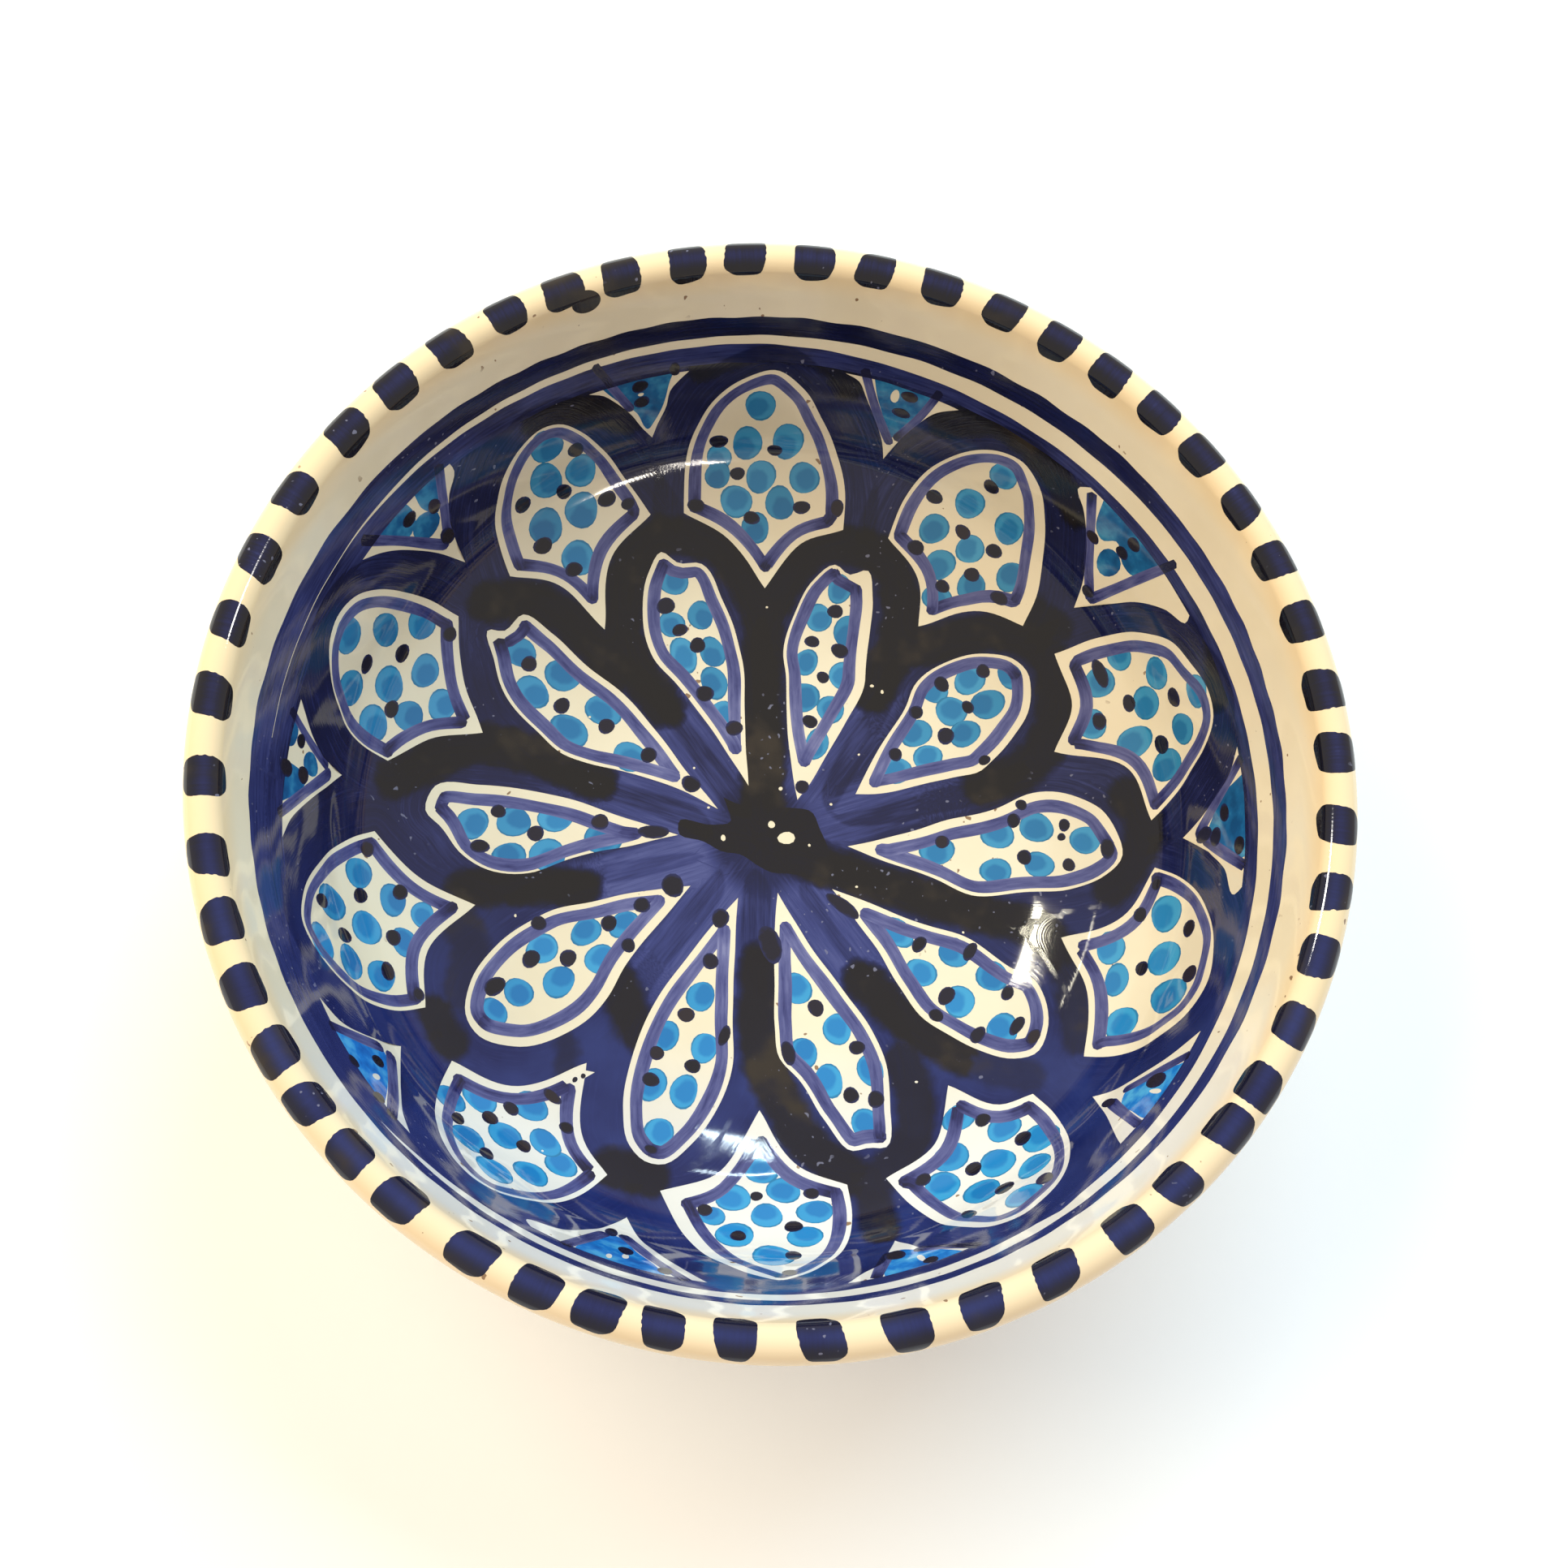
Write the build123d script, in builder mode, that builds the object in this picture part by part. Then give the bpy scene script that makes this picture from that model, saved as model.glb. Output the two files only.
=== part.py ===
from build123d import *
from math import acos, cos, degrees, radians, sin
import os

# Hand painted earthenware serving dish: a deep bowl-shaped plate on a foot ring.
# Frame: origin at the centre of the foot's resting plane, +Z up through the hollow.
# All lengths are in millimetres and all angles in degrees.

# ---- driving dimensions of the pot ----
RIM_RADIUS = 125.0         # widest circle, half way up the rolled lip
LIP_RADIUS = 4.2           # the lip is a bead of this radius
WALL_ANGLE = 70.5          # slope of the inner wall from level
CORNER_RADIUS = 25.0       # sweep from floor to wall
FLOOR_RADIUS = 1765.0      # the floor is a very shallow dish...
FLOOR_SWEEP = 2.55         # ...of this angle, out to the corner
FLOOR_TOP = 10.2           # height of the middle of the floor
OUTER_WALL_ANGLE = 68.0    # the wall thins a little on its way down
OUTER_WALL_LENGTH = 47.6
OUTER_CORNER_RADIUS = 31.5
OUTER_CORNER_SWEEP = 66.0
FOOT_OUTER = 66.0
FOOT_INNER = 57.0
FOOT_TAPER = 1.0
FOOT_RECESS = 4.0          # depth of the hollow inside the foot ring
FOOT_ROUNDING = 1.2
BARE_HEIGHT = 1.6          # the foot is wiped clean of glaze up to here
GLAZE = 0.4                # tin glaze over the clay
FILM = 0.2                 # brushed pigment over the glaze

# ---- the same pot, worked out ----
FLOOR_EDGE = FLOOR_RADIUS * sin(radians(FLOOR_SWEEP))
CORNER_REACH = CORNER_RADIUS * (sin(radians(WALL_ANGLE)) - sin(radians(FLOOR_SWEEP)))
LIP_REACH = LIP_RADIUS * (1 + sin(radians(WALL_ANGLE)))
WALL_LENGTH = (RIM_RADIUS - LIP_REACH - CORNER_REACH - FLOOR_EDGE) / cos(radians(WALL_ANGLE))
FLOOR_RISE = FLOOR_RADIUS * (1 - cos(radians(FLOOR_SWEEP)))
CORNER_RISE = CORNER_RADIUS * (cos(radians(FLOOR_SWEEP)) - cos(radians(WALL_ANGLE)))
WALL_RISE = WALL_LENGTH * sin(radians(WALL_ANGLE))
LIP_DROP = LIP_RADIUS * cos(radians(WALL_ANGLE))
LIP_CENTRE = (RIM_RADIUS - LIP_RADIUS, FLOOR_TOP + FLOOR_RISE + CORNER_RISE + WALL_RISE - LIP_DROP)
STENCIL_HEIGHT = 80.0      # stencils are cut straight down through the whole dish

# ---- layout of the painting, seen from above ----
PETALS = 10
SECTOR = 360 / PETALS
STROKE = 8.6               # width of the thick brush
LINE = 1.7                 # width of the thin brush
GAP = 1.5                  # bare glaze left beside a thin line
RING_RADII = (110.9, 112.8)
BAND_RADII = (107.6, 109.6)
CORNER_START = 88.0        # the triangles between outer petals lie beyond this radius
HUB_RADIUS = 18.0
BUD_START = 17.0           # an inner petal is a point near the middle...
BUD_CENTRE = 63.0          # ...and a round end
BUD_RADIUS = 11.0
SCALLOP_RADIUS = 20.0      # an outer petal stands on two scallops round the inner petals,
PETAL_SIDE = (98.0, 15.5)  # ...has bulging sides...
PETAL_TIP = 106.4          # ...and a tip near the band
DASHES = 50
DASH_ANGLE = 4.5
DASH_OUTER_ANGLE = 34.0    # a dash ends this far above the widest circle
DAB_RADIUS = 2.8
DOT_RADIUS = 1.3
OUTER_DABS = [(84, 0), (89.5, 6), (89.5, -6), (95.5, 0.5), (95, 8.6), (95, -8.6), (100, 4.5), (100, -4.5)]
OUTER_DOTS = [(87, 0), (92, 2), (99, 0.3)]
INNER_DABS = [(42, 0), (49, 3.4), (49, -3.4), (56, 4), (56, -4), (63, 4.2), (63, -4.2), (69, 0)]
INNER_DOTS = [(37, 0), (46, 0), (59.5, 0)]
CORNER_DOTS = [(99.5, 0), (103.8, 4), (103.8, -4)]


def inner_line(lift):
    """Inner surface from the middle of the floor over the lip, raised off the glaze by lift."""
    floor = JernArc((0, FLOOR_TOP + lift), (1, 0), FLOOR_RADIUS - lift, FLOOR_SWEEP)
    corner = JernArc(floor @ 1, floor % 1, CORNER_RADIUS - lift, WALL_ANGLE - FLOOR_SWEEP)
    wall = PolarLine(corner @ 1, WALL_LENGTH, WALL_ANGLE)
    return JernArc(wall @ 1, wall % 1, LIP_RADIUS + lift, -WALL_ANGLE - 90)


# ---- the pot: half sections, turned about the Z axis ----
def pot_section():
    """The glazed pot: lip, wall, floor and foot in one."""
    with BuildSketch() as section:
        with BuildLine():
            lip = inner_line(0)
            under_lip = JernArc(lip @ 1, lip % 1, LIP_RADIUS, OUTER_WALL_ANGLE - 90)
            wall = PolarLine(under_lip @ 1, OUTER_WALL_LENGTH, OUTER_WALL_ANGLE - 180)
            corner = JernArc(wall @ 1, wall % 1, OUTER_CORNER_RADIUS, -OUTER_CORNER_SWEEP)
            foot_root = (FOOT_OUTER + FOOT_TAPER, (corner @ 1).Y)
            Polyline(corner @ 1, foot_root, (FOOT_OUTER, 0), (FOOT_INNER, 0),
                     (FOOT_INNER - FOOT_TAPER, FOOT_RECESS), (0, FOOT_RECESS), (0, FLOOR_TOP))
        make_face()
        foot_corners = section.vertices().filter_by_position(Axis.X, FOOT_INNER - 2, FOOT_OUTER + 2)
        fillet(foot_corners, FOOT_ROUNDING)
    return section.sketch


def bare_foot_section():
    """The lowest part of the foot ring, which carries no glaze."""
    with BuildSketch() as section:
        add(pot_section())
        with Locations(((FOOT_INNER + FOOT_OUTER) / 2, 0)):
            Rectangle(2 * (FOOT_OUTER - FOOT_INNER), 2 * BARE_HEIGHT, mode=Mode.INTERSECT)
    return section.sketch


def clay_section():
    """The clay: the pot drawn in by the glaze's thickness, down to a bare foot."""
    with BuildSketch() as section:
        add(pot_section())
        mirror(about=Plane.YZ)
        offset(amount=-GLAZE, mode=Mode.REPLACE)
        split(bisect_by=Plane.YZ)
        add(bare_foot_section())
    return section.sketch


with BuildPart() as clay_body:
    with BuildSketch(Plane.XZ):
        add(clay_section())
    revolve(axis=Axis.Z)
clay_body.part.label = "clay_body"

with BuildPart() as white_glaze:
    with BuildSketch(Plane.XZ):
        add(pot_section())
        add(clay_section(), mode=Mode.SUBTRACT)
    revolve(axis=Axis.Z)
white_glaze.part.label = "white_glaze"

with BuildPart() as film:
    with BuildSketch(Plane.XZ):
        with BuildLine():
            under = inner_line(0)
            over = inner_line(FILM)
            Line(under @ 1, over @ 1)
            Line((0, FLOOR_TOP), (0, FLOOR_TOP + FILM))
        make_face()
    revolve(axis=Axis.Z)


# ---- stencils: what each brush covers, as flat shapes seen from above ----
def bud():
    """An inner petal along +X: a teardrop with its point near the middle."""
    half_angle = degrees(acos(BUD_RADIUS / (BUD_CENTRE - BUD_START)))
    with BuildSketch() as shape:
        with BuildLine():
            end = CenterArc((BUD_CENTRE, 0), BUD_RADIUS, half_angle - 180, 360 - 2 * half_angle)
            Polyline(end @ 1, (BUD_START, 0), end @ 0)
        make_face()
    return shape.sketch


def petal():
    """An outer petal along +X: bulging sides up to a tip, over two scallops."""
    half_sector = radians(SECTOR / 2)
    centre = Vector(BUD_CENTRE * cos(half_sector), BUD_CENTRE * sin(half_sector))
    valley_angle = -degrees(acos((SCALLOP_RADIUS**2 - centre.Y**2) ** 0.5 / SCALLOP_RADIUS))
    with BuildSketch() as shape:
        with BuildLine():
            scallop = CenterArc(centre, SCALLOP_RADIUS, valley_angle, -valley_angle)
            ThreePointArc(scallop @ 1, PETAL_SIDE, (PETAL_TIP, 0))
            mirror(about=Plane.XZ)
        make_face()
    return shape.sketch


def disc(radius, inner_radius=0):
    """A flat disc, or a flat ring if it has an inner radius."""
    with BuildSketch() as shape:
        Circle(radius)
        if inner_radius:
            Circle(inner_radius, mode=Mode.SUBTRACT)
    return shape.sketch


def spots(places, radius):
    """Round spots of one radius."""
    with BuildSketch() as shape:
        with Locations(*places):
            Circle(radius)
    return shape.sketch


def grown(shape, amount):
    """The shape with its outline moved out by amount, or in where that is negative."""
    with BuildSketch() as result:
        add(shape)
        offset(amount=amount, mode=Mode.REPLACE)
    return result.sketch


def less(shape, *others):
    """The shape without the others."""
    with BuildSketch() as result:
        add(shape)
        for other in others:
            add(other, mode=Mode.SUBTRACT)
    return result.sketch


def around(shape, first_angle):
    """The shape repeated for every petal about the middle of the dish."""
    with BuildSketch() as result:
        with PolarLocations(0, PETALS, first_angle):
            add(shape)
    return result.sketch


def line_inside(shape):
    """A thin brush line that follows the shape's edge, a gap in from it."""
    return less(grown(shape, -GAP), grown(shape, -GAP - LINE))


# ---- layers of paint ----
def painted(stencil, label):
    """The film of pigment that a stencil leaves on the inner surface."""
    with BuildPart() as layer:
        add(film.part)
        with BuildSketch():
            add(stencil)
        extrude(amount=STENCIL_HEIGHT, mode=Mode.INTERSECT)
    layer.part.label = label
    return layer


def painted_each(stencil, label, first_angle):
    """A film painted once and repeated for every petal."""
    one = painted(stencil, label)
    with BuildPart() as layer:
        with PolarLocations(0, PETALS, first_angle):
            add(one.part)
    layer.part.label = label
    return layer


def rim_dash_layer():
    """Short dabs across the lip, from just inside the wall's top to above the widest circle."""
    sweep = 90 + WALL_ANGLE - DASH_OUTER_ANGLE
    with BuildPart() as one:
        with BuildSketch(Plane.XZ):
            with BuildLine():
                under = CenterArc(LIP_CENTRE, LIP_RADIUS, DASH_OUTER_ANGLE, sweep)
                over = CenterArc(LIP_CENTRE, LIP_RADIUS + FILM, DASH_OUTER_ANGLE, sweep)
                Line(under @ 0, over @ 0)
                Line(under @ 1, over @ 1)
            make_face()
        revolve(axis=Axis.Z, revolution_arc=DASH_ANGLE)
    with BuildPart() as layer:
        with PolarLocations(0, DASHES):
            add(one.part)
    layer.part.label = "rim_dashes"
    return layer


# ---- the shapes of one petal and of the whole rosette ----
outer_angle = SECTOR / 2
petal_shape = petal()
bud_shape = bud()
hub = disc(HUB_RADIUS)
buds = around(bud_shape, 0)
bud_loops = around(grown(bud_shape, STROKE), 0)
petals = around(petal_shape, outer_angle)
petal_arcs = around(grown(petal_shape, STROKE), outer_angle)
between_petals = less(disc(BAND_RADII[0], CORNER_START), petal_arcs)
corner_shape = between_petals.faces().sort_by_distance((BAND_RADII[0], 0, 0))[0]
outside_band = disc(RIM_RADIUS, BAND_RADII[0])
outer_dots = spots(OUTER_DOTS, DOT_RADIUS)
inner_dots = spots(INNER_DOTS, DOT_RADIUS)
corner_dots = spots(CORNER_DOTS, DOT_RADIUS)
outer_outline = line_inside(petal_shape)
inner_outline = line_inside(bud_shape)
corner_fill = grown(corner_shape, -LINE)
outer_dabs = less(spots(OUTER_DABS, DAB_RADIUS), outer_dots, outer_outline)
inner_dabs = less(spots(INNER_DABS, DAB_RADIUS), inner_dots, inner_outline)

layers = [
    clay_body,
    white_glaze,
    rim_dash_layer(),
    painted(disc(RING_RADII[1], RING_RADII[0]), "outer_ring_line"),
    painted(disc(BAND_RADII[1], BAND_RADII[0]), "inner_ring_band"),
    painted(less(petal_arcs, petals, bud_loops, hub, outside_band), "outer_petal_arcs"),
    painted(less(bud_loops, buds, hub), "inner_petal_loops"),
    painted(hub, "centre_patch"),
    painted_each(outer_outline, "outer_petal_outlines", outer_angle),
    painted_each(inner_outline, "inner_petal_outlines", 0),
    painted_each(less(corner_shape, corner_fill), "corner_outlines", 0),
    painted_each(less(corner_fill, corner_dots), "corner_washes", 0),
    painted_each(outer_dabs, "outer_petal_dabs", outer_angle),
    painted_each(inner_dabs, "inner_petal_dabs", 0),
    painted_each(outer_dots, "outer_petal_dots", outer_angle),
    painted_each(inner_dots, "inner_petal_dots", 0),
    painted_each(corner_dots, "corner_dots", 0),
]

os.makedirs("parts", exist_ok=True)
for layer in layers:
    export_step(layer.part, f"parts/{layer.part.label}.step")
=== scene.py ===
import math
from collections import Counter

import bpy
import numpy as np
from mathutils import Matrix, Vector, geometry, kdtree


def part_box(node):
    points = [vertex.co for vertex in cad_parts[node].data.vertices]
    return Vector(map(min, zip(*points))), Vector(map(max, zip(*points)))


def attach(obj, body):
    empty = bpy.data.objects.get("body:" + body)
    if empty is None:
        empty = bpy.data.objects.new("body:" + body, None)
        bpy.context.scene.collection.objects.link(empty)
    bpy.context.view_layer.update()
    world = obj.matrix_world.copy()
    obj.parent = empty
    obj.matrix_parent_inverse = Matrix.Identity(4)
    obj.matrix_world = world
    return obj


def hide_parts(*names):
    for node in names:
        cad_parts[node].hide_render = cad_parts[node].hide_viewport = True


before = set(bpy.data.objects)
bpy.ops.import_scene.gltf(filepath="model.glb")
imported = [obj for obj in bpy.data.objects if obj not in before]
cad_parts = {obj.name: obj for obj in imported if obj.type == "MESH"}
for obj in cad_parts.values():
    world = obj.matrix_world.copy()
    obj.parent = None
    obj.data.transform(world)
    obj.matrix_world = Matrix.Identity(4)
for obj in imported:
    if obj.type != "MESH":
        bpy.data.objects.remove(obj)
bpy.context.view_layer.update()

# The dish is worked out in millimetres, in the frame's own axes, and scaled to metres in each mesh.
MM = 0.001
rng = np.random.default_rng(7)


def millimetres(node):
    """Lowest and highest corner of a CAD node, in millimetres."""
    return [np.array(corner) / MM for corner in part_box(node)]


glaze_high = millimetres("white_glaze")[1]

# ---- the pot's proportions, hung from the frame's own box ----
RIM_RADIUS = glaze_high[0]         # widest circle, half way up the rolled lip
LIP_RADIUS = 4.2
WALL_ANGLE = 70.5
FLOOR_RADIUS, FLOOR_SWEEP = 1765.0, 2.55
CORNER_RADIUS = 25.0
WALL_LENGTH = 47.51
OUTER_WALL_ANGLE, OUTER_WALL_LENGTH = 68.0, 47.6
OUTER_CORNER_RADIUS, OUTER_CORNER_SWEEP = 31.5, 66.0
UNDERSIDE_TURN = -2.0              # brings the underside level before the foot ring
FOOT_OUTER, FOOT_INNER, FOOT_TAPER, FOOT_RECESS = 66.0, 57.0, 1.0, 4.0
FOOT_ROUNDING = 1.2
BARE_HEIGHT = 1.6                  # of the foot, which the glaze leaves bare
GLAZE = 0.4
PIGMENT = 0.2                      # the CAD's pigment stands this far off the glaze
PATCH_RADIUS = 18.0                # of the CAD's patch in the middle
LIP_HEIGHT = glaze_high[2] - LIP_RADIUS


# ---- camera ----
VIEW_TILT, VIEW_SIDE = 19.0, -102.6     # degrees: off straight above, and round the dish
VIEW_DISTANCE = 3.737                   # from the middle of the rim, in rim radii
LENS, SENSOR = 50.3, 36.0
VIEW_SHIFT = 0.0018, -0.0161


def stand(thing, place, right, up, back):
    """Put a camera or a light at place, with its own axes along right, up and back."""
    thing.matrix_world = Matrix((right, up, back)).transposed().to_4x4()
    thing.location = place


def make_camera():
    """Above the dish and a little to the near side, looking at the middle of the rim."""
    tilt, side = math.radians(VIEW_TILT), math.radians(VIEW_SIDE)
    back = Vector((math.sin(tilt) * math.cos(side), math.sin(tilt) * math.sin(side), math.cos(tilt)))
    up = (Vector((0, 1, 0)) - back * back.y).normalized()
    data = bpy.data.cameras.new("camera")
    data.lens, data.sensor_width = LENS, SENSOR
    data.shift_x, data.shift_y = VIEW_SHIFT
    camera = bpy.data.objects.new("camera", data)
    bpy.context.collection.objects.link(camera)
    rim_middle = Vector((0, 0, LIP_HEIGHT)) * MM
    stand(camera, rim_middle + back * (VIEW_DISTANCE * RIM_RADIUS * MM), up.cross(back), up, back)
    bpy.context.scene.camera = camera


make_camera()


# ---- the pot's profile: straight runs and arcs, one after another ----
def profile(start, heading, runs):
    """Stations (distance, radius, height, heading, turn per mm) of a line of (length, turn) runs."""
    stations = []
    distance, (radius, height), heading = 0.0, start, math.radians(heading)
    for length, turn in runs:
        turn = math.radians(turn)
        stations.append((distance, radius, height, heading, turn / length))
        chord = length * np.sinc(turn / 2 / math.pi)
        radius += chord * math.cos(heading + turn / 2)
        height += chord * math.sin(heading + turn / 2)
        heading += turn
        distance += length
    return np.array(stations), distance, (radius, height)


def follow(stations, distance):
    """Radius, height and heading at a distance along a profile."""
    i = np.searchsorted(stations[:, 0], distance, side="right") - 1
    start, radius, height, heading, bend = stations[np.clip(i, 0, None)].T
    run = distance - start
    chord = run * np.sinc(bend * run / 2 / math.pi)
    middle = heading + bend * run / 2
    return radius + chord * np.cos(middle), height + chord * np.sin(middle), heading + bend * run


def arc(radius, turn):
    """The run of a profile that turns by so many degrees at a radius."""
    return radius * math.radians(abs(turn)), turn


# The patch's highest point is its edge, because the floor is slightly hollow.
FLOOR_TOP = millimetres("centre_patch")[1][2] - PIGMENT - PATCH_RADIUS**2 / (2 * FLOOR_RADIUS)
POT_RUNS = [
    arc(FLOOR_RADIUS, FLOOR_SWEEP),
    arc(CORNER_RADIUS, WALL_ANGLE - FLOOR_SWEEP),
    (WALL_LENGTH, 0),
    arc(LIP_RADIUS, -WALL_ANGLE - 90),
    arc(LIP_RADIUS, OUTER_WALL_ANGLE - 90),
    (OUTER_WALL_LENGTH, 0),
    arc(OUTER_CORNER_RADIUS, -OUTER_CORNER_SWEEP),
]
POT, POT_LENGTH, OUTER_END = profile((0, FLOOR_TOP), 0, POT_RUNS)
LIP_START, LIP_WIDEST = POT[3][0], POT[4][0]


def hand_wave(distance, angle):
    """How far the thrown and dipped surface stands off the true one: rings, runs and soft dents."""
    rings = 0.020 * np.sin(distance / 1.7 + 1.3 * np.sin(angle + 0.6)) * np.clip(distance / 30, 0, 1)
    swell = 0.050 * np.sin(distance / 8.5 + 1.1 * np.sin(2 * angle)) * np.sin(3 * angle + distance / 40)
    dents = 0.035 * np.sin(7 * angle + distance / 11) * np.sin(distance / 13 + 2 * angle)
    return (rings + swell + dents) * np.clip(distance / 25, 0, 1)


def unit(vectors):
    """The same directions, each one long."""
    return vectors / np.maximum(np.linalg.norm(vectors, axis=1), 1e-9)[:, None]


def surface(stations, distance, angle, lift):
    """Points and normals of the hand made surface, raised off it by lift."""
    radius, height, heading = follow(stations, distance)
    cos, sin = np.cos(angle), np.sin(angle)
    out = np.stack([-np.sin(heading) * cos, -np.sin(heading) * sin, np.cos(heading)], 1)
    along = np.stack([np.cos(heading) * cos, np.cos(heading) * sin, np.sin(heading)], 1)
    across = np.stack([-sin, cos, np.zeros_like(cos)], 1)
    wave, step, turn = hand_wave(distance, angle), 0.05, 0.0005
    rise = (hand_wave(distance + step, angle) - wave) / step
    twist = (hand_wave(distance, angle + turn) - wave) / turn / np.maximum(radius, 5)
    place = np.stack([radius * cos, radius * sin, height], 1) + out * (lift + wave)[:, None]
    return place, unit(out - along * rise[:, None] - across * twist[:, None])


def build_mesh(name, points, faces, normals, attributes, material, replaced):
    """A piece of the dish, with a normal for each face's corner and its paint attributes."""
    mesh = bpy.data.meshes.new(name)
    mesh.from_pydata((points * MM).tolist(), [], faces.tolist())
    mesh.polygons.foreach_set("use_smooth", np.ones(len(faces), bool))
    for key, values in attributes.items():
        layer = mesh.attributes.new(key, "FLOAT_VECTOR", "POINT")
        layer.data.foreach_set("vector", np.asarray(values, np.float32).ravel())
    mesh.normals_split_custom_set(normals.reshape(-1, 3).tolist())
    mesh.materials.append(material)
    piece = bpy.data.objects.new(name, mesh)
    bpy.context.collection.objects.link(piece)
    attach(piece, "root")
    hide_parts(*replaced)
    return piece


# ---- materials ----
def linear(colour):
    """A colour given as 0 to 255 on screen, as the shader wants it."""
    values = [c / 255 for c in colour]
    return [c / 12.92 if c <= 0.04045 else ((c + 0.055) / 1.055) ** 2.4 for c in values] + [1]


class Nodes:
    """A short way to write a material's node tree."""

    def __init__(self, name, roughness):
        self.material = bpy.data.materials.new(name)
        self.material.use_nodes = True
        self.tree = self.material.node_tree
        self.shader = self.tree.nodes["Principled BSDF"]
        self.shader.inputs["Roughness"].default_value = roughness
        self.shader.inputs["IOR"].default_value = 1.52

    def put(self, socket, value):
        if isinstance(value, bpy.types.NodeSocket):
            self.tree.links.new(value, socket)
        else:
            socket.default_value = value

    def maths(self, operation, a, b=0.0):
        node = self.tree.nodes.new("ShaderNodeMath")
        node.operation = operation
        self.put(node.inputs[0], a)
        self.put(node.inputs[1], b)
        return node.outputs[0]

    def total(self, *values):
        result = values[0]
        for value in values[1:]:
            result = self.maths("ADD", result, value)
        return result

    def times(self, a, b):
        return self.maths("MULTIPLY", a, b)

    def swing(self, noise, width):
        """A noise of 0 to 1 as a value that swings about 0, width from end to end."""
        return self.times(self.total(noise, -0.5), width)

    def length(self, a, b):
        return self.maths("SQRT", self.total(self.times(a, a), self.times(b, b)))

    def split(self, vector):
        node = self.tree.nodes.new("ShaderNodeSeparateXYZ")
        self.put(node.inputs[0], vector)
        return node.outputs

    def attribute(self, name):
        node = self.tree.nodes.new("ShaderNodeAttribute")
        node.attribute_name = name
        return self.split(node.outputs["Vector"])

    def near_side_painted_light(self, where):
        """1 on the near side, where cobalt and copper get painted light: a purer blue for the cool light
        there.
        """
        return self.step(self.split(where)[1], 0.01, -0.06)

    def flecks(self, where, grain, patches):
        """Specks of a fine noise, only within patches of a coarse one: scale, detail and threshold."""
        parts = [self.step(self.noise(where, scale, detail), low, high)
                 for scale, detail, low, high in (grain, patches)]
        return self.times(*parts)

    def vector(self, x, y, z=0.0):
        node = self.tree.nodes.new("ShaderNodeCombineXYZ")
        for socket, value in zip(node.inputs, (x, y, z)):
            self.put(socket, value)
        return node.outputs[0]

    def place(self):
        node = self.tree.nodes.new("ShaderNodeTexCoord")
        return node.outputs["Object"]

    def noise(self, where, scale, detail=2.0, rough=0.5):
        node = self.tree.nodes.new("ShaderNodeTexNoise")
        self.put(node.inputs["Vector"], where)
        node.inputs["Scale"].default_value = scale
        node.inputs["Detail"].default_value = detail
        node.inputs["Roughness"].default_value = rough
        return node.outputs["Fac"]

    def step(self, value, low, high, out_low=0.0, out_high=1.0):
        node = self.tree.nodes.new("ShaderNodeMapRange")
        node.interpolation_type = "SMOOTHSTEP"
        self.put(node.inputs["Value"], value)
        node.inputs["From Min"].default_value = low
        node.inputs["From Max"].default_value = high
        node.inputs["To Min"].default_value = out_low
        node.inputs["To Max"].default_value = out_high
        return node.outputs["Result"]

    def ramp(self, value, *stops):
        node = self.tree.nodes.new("ShaderNodeValToRGB")
        self.put(node.inputs[0], value)
        elements = node.color_ramp.elements
        while len(elements) < len(stops):
            elements.new(0.5)
        for element, (place, colour) in zip(elements, stops):
            element.position = place
            element.color = linear(colour)
        return node.outputs[0]

    def mix(self, amount, a, b):
        node = self.tree.nodes.new("ShaderNodeMix")
        node.data_type = "RGBA"
        self.put(node.inputs["Factor"], amount)
        self.put(node.inputs[6], a)
        self.put(node.inputs[7], b)
        return node.outputs[2]

    def finish(self, colour, height=None, strength=0.0, distance=0.0002):
        self.put(self.shader.inputs["Base Color"], colour)
        if height is not None:
            bump = self.tree.nodes.new("ShaderNodeBump")
            bump.inputs["Strength"].default_value = strength
            bump.inputs["Distance"].default_value = distance
            self.put(bump.inputs["Height"], height)
            self.tree.links.new(bump.outputs[0], self.shader.inputs["Normal"])
        return self.material


def cream_glaze():
    """Tin glaze: faint clouds, a few iron specks, painted light that whitens the near side, and a warmer
    lip.
    """
    n = Nodes("cream_glaze", 0.05)
    where = n.place()
    clouds = n.noise(where, 26, 4)
    # painted light: a warmer cream over the middle and far side and a whiter one on the near side, for the
    # warm and the cool light that fall there
    middle = n.ramp(clouds, (0.3, (234, 218, 186)), (0.7, (244, 231, 202)))
    near = n.ramp(clouds, (0.3, (230, 224, 213)), (0.7, (240, 235, 227)))
    cream = n.mix(n.step(n.split(where)[1], -0.042, -0.076), middle, near)
    height = n.total(n.split(where)[2], n.times(clouds, 0.004), -LIP_HEIGHT * MM)
    # warmer at the top of the lip: partly the glaze pooled there, partly painted warm light
    cream = n.mix(n.step(height, -0.003, 0.004, 0.0, 0.8), cream, linear((243, 215, 168)))
    specks = n.flecks(where, (420, 1, 0.735, 0.76), (60, 0, 0.5, 0.6))
    colour = n.mix(specks, cream, linear((150, 120, 90)))
    return n.finish(colour, n.noise(where, 140, 3), 0.06, 0.0003)


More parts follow.
